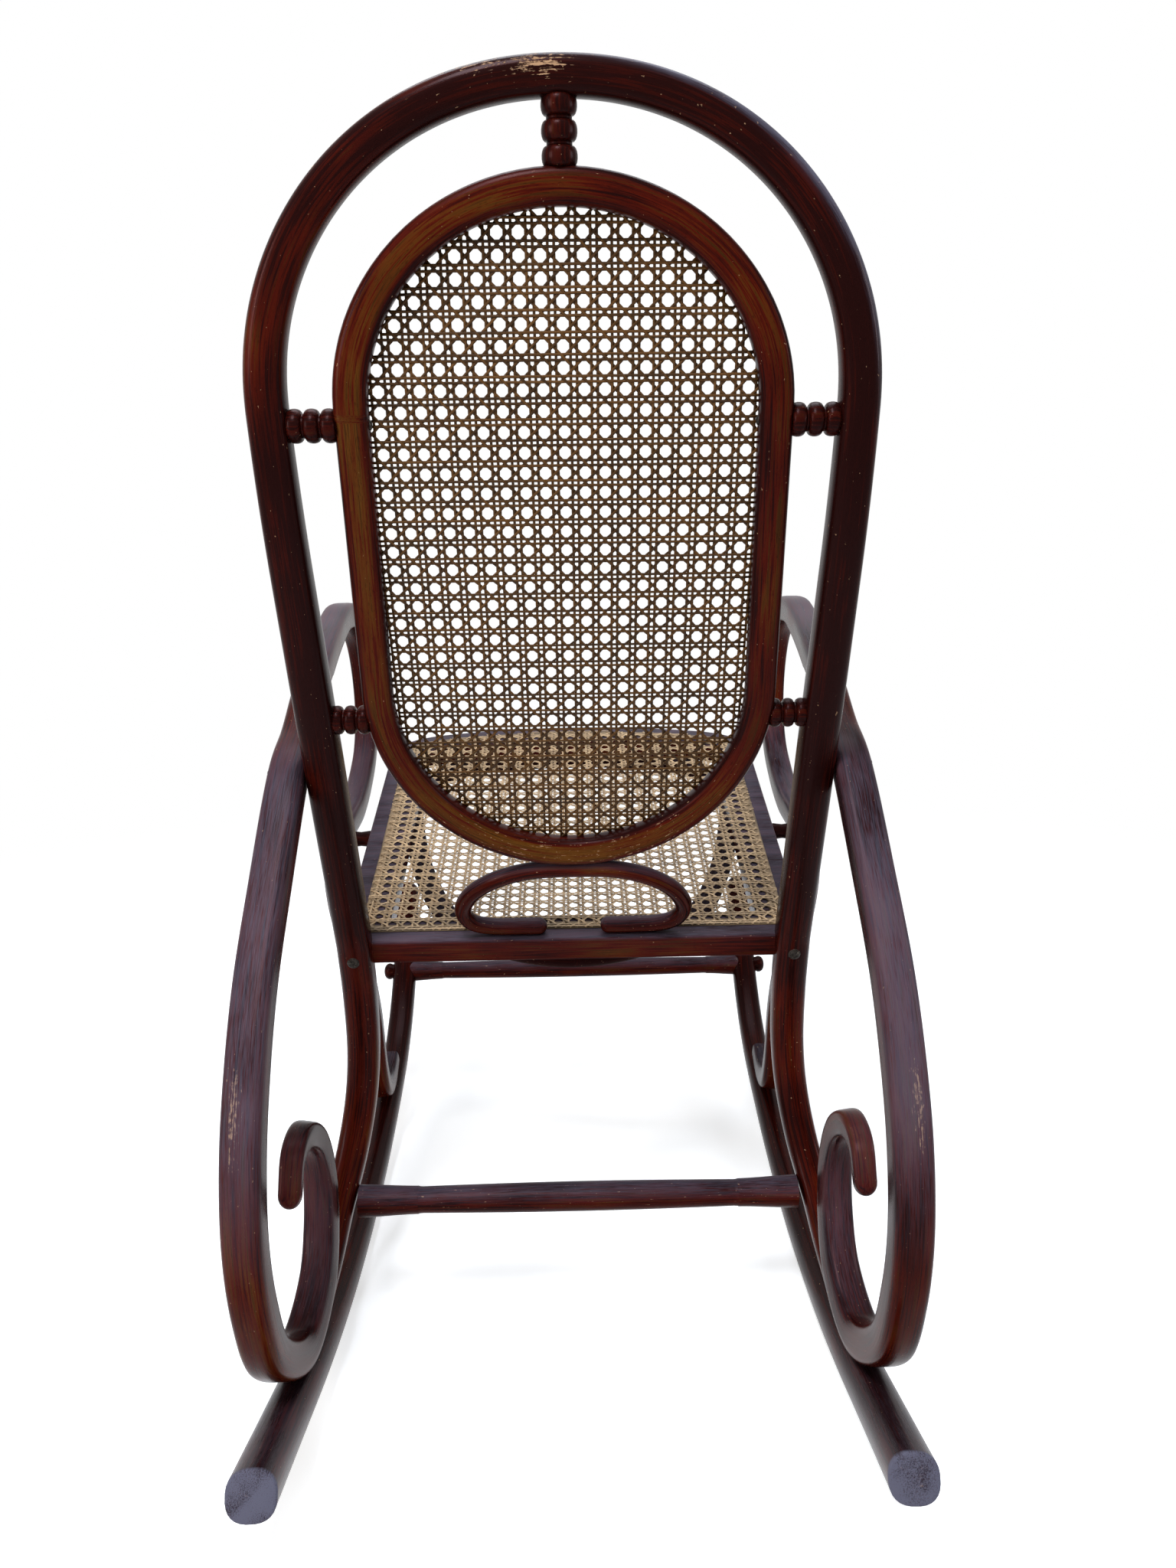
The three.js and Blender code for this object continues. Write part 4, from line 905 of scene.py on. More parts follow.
def stretched_noise(tree, place, lengths, **values):
    """Noise whose spots have the (along, across) lengths in metres."""
    along, across = lengths
    scale = (1 / along, 1 / across, 1 / across)
    spread = add_node(tree, "ShaderNodeMapping", {"Vector": place, "Scale": scale}).outputs["Vector"]
    settings = {"Vector": spread, "Scale": 1.0, "Detail": 3.0, "Roughness": 0.55, **values}
    return add_node(tree, "ShaderNodeTexNoise", settings).outputs["Fac"]


def faded(colour, share=1):
    """A share of a colour's strength, as a plain tuple."""
    return tuple(share * channel for channel in colour)


def new_material(name):
    material = bpy.data.materials.new(name)
    material.use_nodes = True
    tree = material.node_tree
    tree.nodes.clear()
    shader = tree.nodes.new("ShaderNodeBsdfPrincipled")
    output = tree.nodes.new("ShaderNodeOutputMaterial")
    tree.links.new(shader.outputs["BSDF"], output.inputs["Surface"])
    return material, tree, shader


def stained_beech(name, dark, red, rubbed, roughness):
    """Beech, steam-bent, stained and varnished.

    The stain lies dark in the pores and red between them, fine streaks run along each rod whatever its bend,
    and the short flecks of beech show through. The old varnish has dulled, so its highlights are soft and
    faint, and its IOR and specular level are below a fresh varnish's. Wood without varnish is rougher; the
    hoop's is also darker, as a painted shade under the seat.
    """
    material, tree, shader = new_material(name)
    bare_wood = faded(finishes().bare)
    grain = add_node(tree, "ShaderNodeAttribute", attribute_name="grain").outputs["Vector"]
    patina = add_node(tree, "ShaderNodeAttribute", attribute_name="patina").outputs["Vector"]
    worn = add_node(tree, "ShaderNodeSeparateXYZ", {"Vector": patina}).outputs
    streak = stretched_noise(tree, grain, PORE_STREAK, Detail=4.0)
    cloud = stretched_noise(tree, grain, STAIN_CLOUD, Detail=2.0)
    fleck = stretched_noise(tree, grain, RAY_FLECK, Detail=1.0)
    scratch = stretched_noise(tree, grain, SCRATCH, Detail=2.0, Roughness=0.7)
    nick = stretched_noise(tree, grain, NICK, Detail=2.0)
    # The stain goes from dark over red to rubbed where it is thinner.
    uneven = weighed(tree, streak, 2.4, cloud, 1.4)
    thin = calculate(tree, "ADD", worn["X"], calculate(tree, "SUBTRACT", uneven, 1.90), clamp=True)
    colour = ramp(tree, thin, [(0.0, dark), (0.5, red), (1.0, rubbed)])
    colour = mix(tree, between(tree, streak, 0.50, 0.66, 0.65), colour, dark)
    colour = mix(tree, between(tree, fleck, 0.58, 0.70, 0.35), colour, faded(dark, 0.45))
    # Bare wood shows in scratches and nicks, more of them on worn places.
    bare_edge = calculate(tree, "SUBTRACT", 1.0, calculate(tree, "MULTIPLY", worn["Y"], 0.62))
    bare_noise = weighed(tree, scratch, 0.6, nick, 0.45)
    bare_gap = calculate(tree, "SUBTRACT", bare_noise, calculate(tree, "MULTIPLY", bare_edge, 0.72))
    bare_share = between(tree, bare_gap, 0.0, 0.09, 0.85)
    colour = mix(tree, bare_share, colour, bare_wood)
    colour = mix(tree, between(tree, nick, 0.72, 0.76, 0.5), colour, bare_wood)
    # Grey is dust, the grey of the runners' rear tips, and a painted sheen where highlights fall on the arch,
    # the scrolls and upper faces.
    grime_and_sheen_noise = weighed(tree, cloud, 0.7, scratch, 0.7)
    grime_and_sheen_share = calculate(tree, "MULTIPLY", worn["Z"], between(tree, grime_and_sheen_noise, 0.40, 0.85))
    colour = mix(tree, grime_and_sheen_share, colour, faded(finishes().grime_and_sheen))
    tree.links.new(colour, shader.inputs["Base Color"])
    dull = calculate(tree, "MAXIMUM", bare_share, grime_and_sheen_share)
    rough = calculate(tree, "MULTIPLY_ADD", cloud, 0.14, roughness - 0.07)
    rough = calculate(tree, "MULTIPLY_ADD", dull, 0.35, rough, clamp=True)
    tree.links.new(rough, shader.inputs["Roughness"])
    shader.inputs["IOR"].default_value = 1.25
    shader.inputs["Specular IOR Level"].default_value = 0.17
    shader.inputs["Specular Tint"].default_value = (1.0, 0.6, 0.6, 1)
    height = weighed(tree, streak, 0.6, cloud, 1.2)
    height = calculate(tree, "SUBTRACT", height, calculate(tree, "MULTIPLY", bare_share, 0.5))
    bump = add_node(tree, "ShaderNodeBump", {"Height": height, "Strength": 0.35, "Distance": 0.0006})
    tree.links.new(bump.outputs["Normal"], shader.inputs["Normal"])
    return material


def woven_cane(name, light, dark):
    """Rattan cane, split and woven.

    The colour changes from strand to strand and along each one, fibres run along them as fine lines, darker
    stains lie over them, and the smooth bark side faces out with a faint shine.
    """
    material, tree, shader = new_material(name)
    grain = add_node(tree, "ShaderNodeAttribute", attribute_name="grain").outputs["Vector"]
    strand = stretched_noise(tree, grain, STRAND_SHADE, Detail=2.0)
    fibre = stretched_noise(tree, grain, CANE_FIBRE, Detail=2.0)
    stain = stretched_noise(tree, grain, CANE_STAIN, Detail=3.0)
    colour = mix(tree, between(tree, strand, 0.32, 0.68), dark, light)
    colour = mix(tree, between(tree, fibre, 0.45, 0.75, 0.35), colour, dark)
    colour = mix(tree, between(tree, stain, 0.52, 0.72, 0.5), colour, dark)
    tree.links.new(colour, shader.inputs["Base Color"])
    tree.links.new(calculate(tree, "MULTIPLY_ADD", strand, 0.25, 0.35), shader.inputs["Roughness"])
    shader.inputs["Specular IOR Level"].default_value = 0.15
    bump = add_node(tree, "ShaderNodeBump", {"Height": fibre, "Strength": 0.3, "Distance": 0.0003})
    tree.links.new(bump.outputs["Normal"], shader.inputs["Normal"])
    return material


def dulled_steel(name, steel):
    """Mild steel, machined and dulled by age: grey-brown, with a soft broken shine."""
    material, tree, shader = new_material(name)
    place = add_node(tree, "ShaderNodeTexCoord").outputs["Object"]
    tarnish = stretched_noise(tree, place, TARNISH, Detail=3.0)
    colour = mix(tree, between(tree, tarnish, 0.35, 0.7), steel, faded(steel, 0.35))
    tree.links.new(colour, shader.inputs["Base Color"])
    shader.inputs["Metallic"].default_value = 1.0
    tree.links.new(calculate(tree, "MULTIPLY_ADD", tarnish, 0.3, 0.3), shader.inputs["Roughness"])
    return material


MATERIALS = {}


def finish(name):
    """The material of that name, made once."""
    if name not in MATERIALS:
        colours = finishes()
        dark, red, rubbed = faded(colours.stain_dark), faded(colours.stain_red), faded(colours.rubbed)
        straw, brown = colours.seat_cane, colours.back_cane
        makers = {
            "bent_beech_varnished": (stained_beech, dark, red, rubbed, 0.25),
            "turned_beech_varnished": (stained_beech, dark, red, rubbed, 0.28),
            "bent_beech_rubbed": (stained_beech, dark, red, rubbed, 0.3),
            # The hoop is rough without varnish, and its colours, dark to red, are darker as a painted shade
            # under the seat.
            "bent_beech_unvarnished": (stained_beech, dark, dark, red, 0.8),
            "rattan_pounded_border": (woven_cane, faded(straw, 0.5), faded(straw, 0.2)),
            "rattan_woven_straw": (woven_cane, faded(straw), faded(straw, 0.42)),
            # The back's cane is darker: partly browned cane, partly a painted shade.
            "rattan_woven_brown": (woven_cane, faded(brown), faded(brown, 0.30)),
            "steel_dulled": (dulled_steel, faded(colours.steel)),
        }
        make, *values = makers[name]
        MATERIALS[name] = make(name, *values)
    return MATERIALS[name]


def outer_patina(vertices, outward):
    """The stain is thinner on the legs and the left of the arch, whose edge is worn to the wood in places.
    Along the left's outer edge that pale wood also stands for a painted highlight.

    A painted sheen, in grey, lies on the arch's right edge.
    """
    x, height = vertices[:, 0], vertices[:, 2]
    legs = rise(height, 0.45, -0.2)
    left = rise(x, 0.02, 0.12) * rise(height, 0.80, 0.08)
    thin = -0.08 + 0.46 * legs + 0.30 * left
    edge = np.clip(outward[:, 0] * np.sign(x) * 0.8 + outward[:, 2] * 0.7, 0, 1)
    # The pale strip along the left arch's outer edge is worn wood and a painted highlight.
    bare = np.maximum(patches(vertices, ARCH_WORN), 0.42 * left * rise(edge, 0.8, 0.1))
    # Painted highlight: a grey sheen along the arch's right edge.
    right = rise(x, 0.048, -0.12) * rise(height, 0.82, 0.08)
    sheen = 0.7 * right * rise(edge, 0.45, 0.3)
    return np.column_stack([thin, bare, sheen])


def oval_patina(vertices, outward):
    """The oval's rear face is rubbed golden, and its edges keep the dark stain."""
    across = unit(np.column_stack([vertices[:, 0], vertices[:, 2] - (OVAL_TOP_SPRING + OVAL_LOW_SPRING) / 2]))
    out = outward[:, 0] * across[:, 0] + outward[:, 2] * across[:, 1]
    face = rise(outward[:, 1], 0.45, 0.25)
    side = rise(vertices[:, 0], -OVAL_LOW_HALF_WIDTH, 2 * OVAL_LOW_HALF_WIDTH)
    low = rise(vertices[:, 2], 0.62, -0.12)
    golden = 0.46 + 0.28 * side + 0.24 * low
    thin = 0.1 + (golden - 0.1) * face * rise(np.abs(out), 0.75, -0.3)
    return np.column_stack([thin, 0.24 * low * face, np.zeros(len(thin))])


def arm_patina(vertices, outward):
    """The scrolls are rubbed and scraped on their rear faces, and a painted sheen in grey lies where
    highlights fall on their upper rear faces and curls.
    """
    y, height = vertices[:, 1], vertices[:, 2]
    face = np.clip(outward[:, 1] + 0.4 * outward[:, 2], 0, 1)
    thin = 0.16 + 0.2 * face * rise(y, 0.28, 0.1)
    upper = rise(height, 0.26, 0.12) * rise(height, 0.68, -0.1)
    curl = 0.5 * rise(y, 0.42, -0.04) * rise(height, 0.30, -0.02)
    # Painted highlight: a grey sheen on faces that look up and back.
    sheen = 0.5 * np.clip(0.75 * outward[:, 1] + 0.66 * outward[:, 2], 0, 1) * np.maximum(upper, curl)
    sheen = sheen * rise(y, 0.20, 0.1)
    rubbed = patches(vertices, SCROLL_RUBBED) * face
    return np.column_stack([thin + rubbed, patches(vertices, SCROLL_BARE) * face, sheen])


def runner_patina(vertices, outward):
    """The end faces of the rear tips are grey, the tread is worn, and dust lies on top."""
    line = runner_line()
    along = vertices @ unit(line[0] - line[1])
    tip = (along > along.max() - RUNNER_TIP_DEPTH).astype(float)
    dusty = 0.12 * rise(vertices[:, 1], 0.30, 0.2) * np.clip(outward[:, 2] + 0.2, 0, 1)
    bare = np.maximum(np.clip(-outward[:, 2] - 0.5, 0, 1), 0.3 * tip)
    return np.column_stack([np.full(len(along), 0.05), bare, np.maximum(1.25 * tip, dusty)])


def low_patina(vertices, outward):
    """Rear faces are rubbed a little, and the grey on top is dust and a painted sheen."""
    thin = 0.14 + 0.24 * np.clip(outward[:, 1], 0, 1)
    return np.column_stack([thin, np.full(len(thin), 0.12), 0.5 * np.clip(outward[:, 2] - 0.2, 0, 1)])


def rail_patina(vertices, outward):
    """The rear face shows the red of the stain, and the grey on top is dust and a painted sheen."""
    thin = 0.1 + 0.42 * np.clip(outward[:, 1], 0, 1)
    return np.column_stack([thin, np.full(len(thin), 0.05), 0.45 * np.clip(outward[:, 2], 0, 1)])


def both_sides(name, mesh):
    """Left mesh and its mirror image, both smoothed, each with its side's name."""
    for side, shape in (("left", mesh), ("right", mirror_mesh(name + "_right_shape", mesh))):
        mark_sharp(shape)
        yield side, shape


def add_pair(name, mesh, material):
    """Left piece and its mirror image, each standing for its node."""
    for side, shape in both_sides(name, mesh):
        piece = finished_object(f"{name}_{side}_shown", shape, material)
        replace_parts(piece, f"{name}_{side}")


class ROCKER_OT_back_frame(bpy.types.Operator):
    """Bend the outer frame: both rear legs, the posts and the arch in one rod"""

    bl_idname = "rocker.back_frame"
    bl_label = "Outer frame"

    def execute(self, context):
        rods = sizes()
        half = [(0, rods.toe), (0.03, rods.ankle), (0.16, rods.post), (0.26, rods.post), (0.36, rods.spring)]
        stops = [*half, (0.5, rods.crest), *[(1 - share, radius) for share, radius in reversed(half)]]
        mesh = rod(
            "back_frame_shape", outer_line(), stops, reference=(0, 1, 0), reference_share=0.5,
            power=POST_POWER, patina=outer_patina,
        )
        mark_sharp(mesh)
        piece = finished_object("back_frame_shown", mesh, "bent_beech_varnished")
        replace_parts(piece, "back_frame")
        return {"FINISHED"}


class ROCKER_OT_oval_frame(bpy.types.Operator):
    """Bend the oval frame of the back, with its flattened rear face"""

    bl_idname = "rocker.oval_frame"
    bl_label = "Oval frame"

    def execute(self, context):
        shares = (OVAL_DEPTH_RADIUS / sizes().oval, OVAL_ACROSS_SHARE)
        mesh = rod(
            "back_oval_shape", oval_line(), even_radius(sizes().oval), reference=(0, 1, 0), closed=True,
            power=OVAL_POWER, shares=shares, patina=oval_patina,
        )
        mark_sharp(mesh)
        piece = finished_object("back_oval_frame_shown", mesh, "bent_beech_rubbed")
        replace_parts(piece, "back_oval_frame")
        return {"FINISHED"}


class ROCKER_OT_beads(bpy.types.Operator):
    """Turn the five bead connectors between the outer frame and the oval"""

    bl_idname = "rocker.beads"
    bl_label = "Bead connectors"

    def execute(self, context):
        for name, (outer, inner, outer_radius) in self.ends().items():
            mesh = self.connector(name, outer, inner, outer_radius)
            mark_sharp(mesh)
            piece = finished_object(name + "_shown", mesh, "turned_beech_varnished")
            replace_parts(piece, name)
        return {"FINISHED"}

    def ends(self):
        found = {"bead_top": (back_point(0, CREST_HEIGHT), back_point(0, OVAL_TOP_HEIGHT), sizes().crest)}
        for level, height in (("upper", UPPER_BEAD_HEIGHT), ("lower", LOWER_BEAD_HEIGHT)):
            outer = back_point(post_across(height), height)
            inner = back_point(oval_half_width(height, 0), height)
            found[f"bead_{level}_left"] = (outer, inner, sizes().post)
            found[f"bead_{level}_right"] = (mirrored(outer), mirrored(inner), sizes().post)
        return found

    def connector(self, name, outer, inner, outer_radius):
        """Three beads parted by narrow fillets, with a flared collar where each end meets a rod."""
        start = outer + unit(inner - outer) * outer_radius * BEAD_SEATING_SHARE
        length = np.linalg.norm(inner - outer) - (outer_radius + sizes().oval) * BEAD_SEATING_SHARE
        groove, lip = BEAD_GROOVE_RADIUS, BEAD_GROOVE_RADIUS + BEAD_GROOVE_LIP
        bead = [(0.04, lip), (0.08, groove)]
        for angle in np.radians([20, 40, 60, 80, 100, 120, 140, 160]):
            swell = math.sin(angle) ** 0.7
            bead.append((0.5 - 0.42 * math.cos(angle), groove + (BEAD_RADIUS - groove) * swell))
        bead += [(0.92, groove), (0.96, lip)]
        beads = [((number + share) * length / 3, radius) for number in range(3) for share, radius in bead]
        profile = [(0, BEAD_COLLAR_RADIUS), *beads, (length, BEAD_COLLAR_RADIUS)]
        return turned(name + "_shape", profile, start, inner)


class ROCKER_OT_ornament(bpy.types.Operator):
    """Bend the open scroll that stands on the rear rail below the oval"""

    bl_idname = "rocker.ornament"
    bl_label = "Ornament"

    def execute(self, context):
        foot = seat_point(0, ORNAMENT_SETBACK, sizes().ornament)
        top = back_point(0, OVAL_LOW_HEIGHT) - point(0, 0, sizes().oval + sizes().ornament - SADDLE_DEPTH)
        half = [
            foot + share * (top - foot) + point(across * ORNAMENT_HALF_WIDTH, 0, 0)
            for across, share in ORNAMENT_HALF_SHARES
        ]
        half.append(foot + point(ORNAMENT_TIP_GAP / 2, 0, 0))
        line = evenly(smooth_curve([*mirrored(half)[::-1], *half[1:]]), FINE_STEP)
        mesh = rod(
            "ornament_shape", line, even_radius(sizes().ornament), reference=(0, 1, 0),
            dome_start=0.9, dome_end=0.9, power=ORNAMENT_POWER, patina=low_patina,
        )
        mark_sharp(mesh)
        piece = finished_object("ornament_shown", mesh, "bent_beech_varnished")
        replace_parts(piece, "back_ornament_scroll")
        return {"FINISHED"}


class ROCKER_OT_seat_frame(bpy.types.Operator):
    """Shape the rear rail and the bent rail of the seat"""

    bl_idname = "rocker.seat_frame"
    bl_label = "Seat frame"

    def execute(self, context):
        rear = [
            (-SEAT_REAR_HALF_WIDTH, 0), (-SEAT_REAR_HALF_WIDTH, -SEAT_RAIL_WIDTH),
            (SEAT_REAR_HALF_WIDTH, -SEAT_RAIL_WIDTH), (SEAT_REAR_HALF_WIDTH, 0),
        ]
        self.board("seat_rear_rail", rear, "bent_beech_rubbed")
        joint = SEAT_RAIL_WIDTH + SEAT_RAIL_GAP
        bent = [*seat_edge(0, joint), *seat_edge(SEAT_RAIL_WIDTH, joint)[::-1]]
        self.board("seat_bent_rail", bent, "bent_beech_varnished")
        return {"FINISHED"}

    def board(self, name, outline, material):
        """Board with its top at the seat's plane and its long edges rounded."""
        work = bmesh.new()
        low = [work.verts.new((x, y, -SEAT_THICKNESS)) for x, y in outline]
        high = [work.verts.new((x, y, 0)) for x, y in outline]
        count = len(outline)
        work.faces.new(low)
        work.faces.new(high[::-1])
        for index in range(count):
            onward = (index + 1) % count
            work.faces.new((low[onward], low[index], high[index], high[onward]))
        bmesh.ops.recalc_face_normals(work, faces=work.faces)
        rims = [edge for edge in work.edges if abs(edge.verts[0].co.z - edge.verts[1].co.z) < 1e-6]
        bmesh.ops.bevel(work, geom=rims, offset=SEAT_RAIL_ROUNDING, segments=4, profile=0.6, affect="EDGES")
        work.normal_update()
        places = np.array([vertex.co for vertex in work.verts])
        outward = np.array([vertex.normal for vertex in work.verts])
        faces = [[vertex.index for vertex in face.verts] for face in work.faces]
        work.free()
        placed = np.array([SEAT_FRAME @ Vector(place) for place in places])
        mesh = make_mesh(name + "_shape", placed, faces, places, rail_patina(placed, outward))
        mark_sharp(mesh, math.radians(30))
        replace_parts(finished_object(name + "_shown", mesh, material), name)


def strand_mesh(name, strands, width, thickness):
    """Flat strands with rounded faces. Each is (places, upward directions) of its middle line."""
    chance = np.random.default_rng(STRAND_SEED)
    sides = len(STRAND_SECTION)
    vertices, faces, grain = [], [], []
    for number, (places, ups) in enumerate(strands):
        across = unit(np.cross(unit(np.gradient(places, axis=0)), ups))
        along = distances(places)
        base = len(vertices)
        own = chance.random(2)
        aside = number * STRAND_GRAIN_STEP
        for ring in range(len(places)):
            for wide, deep in STRAND_SECTION:
                vertices.append(places[ring] + across[ring] * width * wide + ups[ring] * thickness * deep)
                grain.append((along[ring] + own[0], width * wide + aside, thickness * deep + own[1]))
        # A strand's section runs the other way round than a rod's, so its faces are turned over.
        faces += [(face[0], *face[:0:-1]) for face in tube_faces(len(places), sides, base=base)]
    mesh = make_mesh(name, vertices, faces, grain, np.zeros((len(vertices), 3)))
    for polygon in mesh.polygons:
        polygon.use_smooth = True
    return mesh


def runs_inside(start, end, step, inside):
    """Stretches of a straight line that lie inside an outline, each as its points."""
    start, end = np.array(start, float), np.array(end, float)
    count = max(int(round(np.linalg.norm(end - start) / step)), 1)
    line = [start + (end - start) * index / count for index in range(count + 1)]
    runs, run = [], []
    for place in line:
        if inside(*place):
            run.append(place)
        elif run:
            runs.append(run)
            run = []
    if run:
        runs.append(run)
    return [np.array(run) for run in runs if len(run) > 2]


def seven_step_weave(box, inside, place):
    """Strands of a seven-step weave: pairs across, pairs up and down, and two sets of diagonals.

    The two sets of diagonals rise and sink in turn, so that one passes over where the other passes under.
    """
    pitch, pair, thick = weave_sizes().pitch, weave_sizes().pair_half, weave_sizes().thickness
    (left, low), (right, high) = box
    columns = range(math.floor(left / pitch) - 1, math.ceil(right / pitch) + 2)
    rows = range(math.floor(low / pitch) - 1, math.ceil(high / pitch) + 2)
    lines = []
    for column in columns:
        for offset, lift in zip((-pair, pair), COLUMN_LIFTS):
            x = (column + 0.5) * pitch + offset
            for run in runs_inside((x, low), (x, high), pitch / 2, inside):
                sway = STRAND_SWAY * np.sin(run[:, 1] * 2 * math.pi / pitch + column)
                lines.append((run + np.column_stack([sway, 0 * sway]), np.full(len(run), lift * thick)))
    for row in rows:
        for offset, lift in zip((-pair * ROW_PAIR_SHARE, pair * ROW_PAIR_SHARE), ROW_LIFTS):
            y = (row + 0.5) * pitch + offset
            for run in runs_inside((left, y), (right, y), pitch / 2, inside):
                sway = STRAND_SWAY * np.sin(run[:, 0] * 2 * math.pi / pitch + row)
                lines.append((run + np.column_stack([0 * sway, sway]), np.full(len(run), lift * thick)))
    reach = (right - left) + (high - low)
    for lean in (1, -1):
        for number in range(-math.ceil(reach / pitch), math.ceil(reach / pitch) + 1):
            cut = (number + 0.5) * pitch
            ends = ((low * lean + cut, low), (high * lean + cut, high))
            for run in runs_inside(*ends, pitch / 4 * math.sqrt(2), inside):
                wave = np.cos(2 * math.pi * run[:, 0] / pitch)
                lines.append((run, thick * (DIAGONAL_LIFT + DIAGONAL_WAVE * lean * wave)))
    strands = []
    for run, lifts in lines:
        placed = [place(x, y, lift) for (x, y), lift in zip(run, lifts)]
        strands.append(tuple(np.array(part) for part in zip(*placed)))
    return strands


class ROCKER_OT_back_cane(bpy.types.Operator):
    """Weave the cane of the back, which follows the bend of the oval"""

    bl_idname = "rocker.back_cane"
    bl_label = "Back cane"

    def execute(self, context):
        pitch = weave_sizes().pitch
        inset = sizes().oval * 0.5
        middle = (OVAL_TOP_HEIGHT + OVAL_LOW_HEIGHT) / 2

        def inside(x, y):
            return abs(x) < oval_half_width(middle + y, inset)

        def place(x, y, lift):
            height = middle + y
            slope = (back_at(height + pitch / 2) - back_at(height - pitch / 2)) / pitch
            up = point(0, 1, -slope) / math.hypot(1, slope)
            return back_point(x, height) + up * (lift - CANE_SET_FORWARD), up

        reach = (OVAL_TOP_HEIGHT - OVAL_LOW_HEIGHT) / 2
        box = ((-OVAL_LOW_HALF_WIDTH, -reach), (OVAL_LOW_HALF_WIDTH, reach))
        strands = seven_step_weave(box, inside, place)
        mesh = strand_mesh("back_cane_shape", strands, weave_sizes().strand, weave_sizes().thickness)
        piece = finished_object("back_cane_shown", mesh, "rattan_woven_brown")
        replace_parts(piece, "back_cane")
        return {"FINISHED"}


class ROCKER_OT_seat_cane(bpy.types.Operator):
    """Weave the cane of the seat, which sags a little, and lay the pounded border on its edge"""

    bl_idname = "rocker.seat_cane"
    bl_label = "Seat cane"

    def execute(self, context):
        outline = seat_edge(SEAT_CANE_MARGIN, SEAT_CANE_MARGIN)
        front_edge = np.array(sorted((x, y) for x, y in outline if y < -SEAT_DEPTH / 2))

        def inside(x, y):
            if y > -SEAT_CANE_MARGIN or abs(x) > seat_half_width(-y) - SEAT_CANE_MARGIN:
                return False
            return y > np.interp(x, front_edge[:, 0], front_edge[:, 1])

        up = np.array(SEAT_FRAME.to_3x3() @ Vector((0, 0, 1)))
        open_half = SEAT_REAR_HALF_WIDTH - SEAT_RAIL_WIDTH
        open_low, open_high = -(SEAT_DEPTH - SEAT_RAIL_WIDTH), -SEAT_RAIL_WIDTH

        def place(x, y, lift):
            across = max(1 - (x / open_half) ** 2, 0)
            deep = max(1 - ((2 * y - open_low - open_high) / (open_high - open_low)) ** 2, 0)
            sunk = weave_sizes().sag * across * deep
            return seat_point(x, -y, SEAT_CANE_LIFT + lift - sunk), up

        box = ((-SEAT_FRONT_HALF_WIDTH, -SEAT_DEPTH), (SEAT_FRONT_HALF_WIDTH, 0))
        strands = seven_step_weave(box, inside, place)
        width = SEAT_STRAND_SHARE * weave_sizes().strand
        mesh = strand_mesh("seat_cane_shape", strands, width, weave_sizes().thickness)
        piece = finished_object("seat_cane_shown", mesh, "rattan_woven_straw")
        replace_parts(piece, "seat_cane")
        inset = SEAT_CANE_MARGIN + BORDER_WIDTH / 2
        border = seat_edge(inset, inset)
        border = evenly([seat_point(x, -y, BORDER_THICKNESS) for x, y in [*border, border[0]]], BORDER_STEP)
        ups = np.tile(up, (len(border), 1))
        mesh = strand_mesh("seat_border_shape", [(border, ups)], BORDER_WIDTH, BORDER_THICKNESS)
        piece = finished_object("seat_border_shown", mesh, "rattan_pounded_border")
        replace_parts(piece, "seat_cane")
        return {"FINISHED"}


class ROCKER_OT_hoop(bpy.types.Operator):
    """Bend the brace hoop below the seat"""

    bl_idname = "rocker.brace_hoop"
    bl_label = "Brace hoop"

    def execute(self, context):
        front = SEAT_DEPTH - HOOP_FRONT_SETBACK
        lift = -SEAT_THICKNESS - sizes().hoop
        half = [
            seat_point(x * HOOP_HALF_WIDTH, HOOP_REAR_SETBACK + share * (front - HOOP_REAR_SETBACK), lift)
            for x, share in HOOP_HALF_SHARES
        ]
        ends = seat_point(0, HOOP_REAR_SETBACK, lift), seat_point(0, front, lift)
        points = [ends[0], *half, ends[1], *mirrored(half)[::-1]]
        line = evenly(smooth_curve(points, closed=True), closed=True)
        mesh = rod(
            "hoop_shape", line, even_radius(sizes().hoop), reference=(0, 0, 1), closed=True, patina=low_patina
        )
        mark_sharp(mesh)
        piece = finished_object("seat_brace_hoop_shown", mesh, "bent_beech_unvarnished")
        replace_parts(piece, "seat_brace_hoop")
        return {"FINISHED"}


def cut_scarf(mesh, forward):
    """Cuts a rod along the slanted face of the scarf joint and keeps one half."""
    slant = math.atan2(2 * sizes().arm, SCARF_LENGTH)
    y = SCARF_SHARES[0] * CHAIR_LENGTH
    middle = Vector(side_point(arm_across(y), SCARF_SHARES))
    normal = Matrix.Rotation(slant, 3, "X") @ Vector((0, 0, 1))
    middle, normal = REST @ middle, (1 if forward else -1) * (REST.to_3x3() @ normal)
    work = bmesh.new()
    work.from_mesh(mesh)
    near = (REST @ Vector((0, y, 0))).y
    everything = [*work.verts, *work.edges, *work.faces]
    cut = bmesh.ops.bisect_plane(
        work, geom=everything, plane_co=middle, plane_no=normal, clear_outer=False, clear_inner=False
    )["geom_cut"]
    reach = 2 * SCARF_LENGTH
    for face in list(work.faces):
        at = face.calc_center_median()
        by_joint = abs(at.y - near) < reach and at.z > middle.z - reach / 2
        if by_joint and (at - middle).dot(normal) > 1e-6:
            work.faces.remove(face)
    loose = [vertex for vertex in work.verts if not vertex.link_faces]
    bmesh.ops.delete(work, geom=loose, context="VERTS")
    rim = [e for e in cut if isinstance(e, bmesh.types.BMEdge) and e.is_valid and e.is_boundary]
    bmesh.ops.holes_fill(work, edges=rim, sides=0)
    work.to_mesh(mesh)
    work.free()


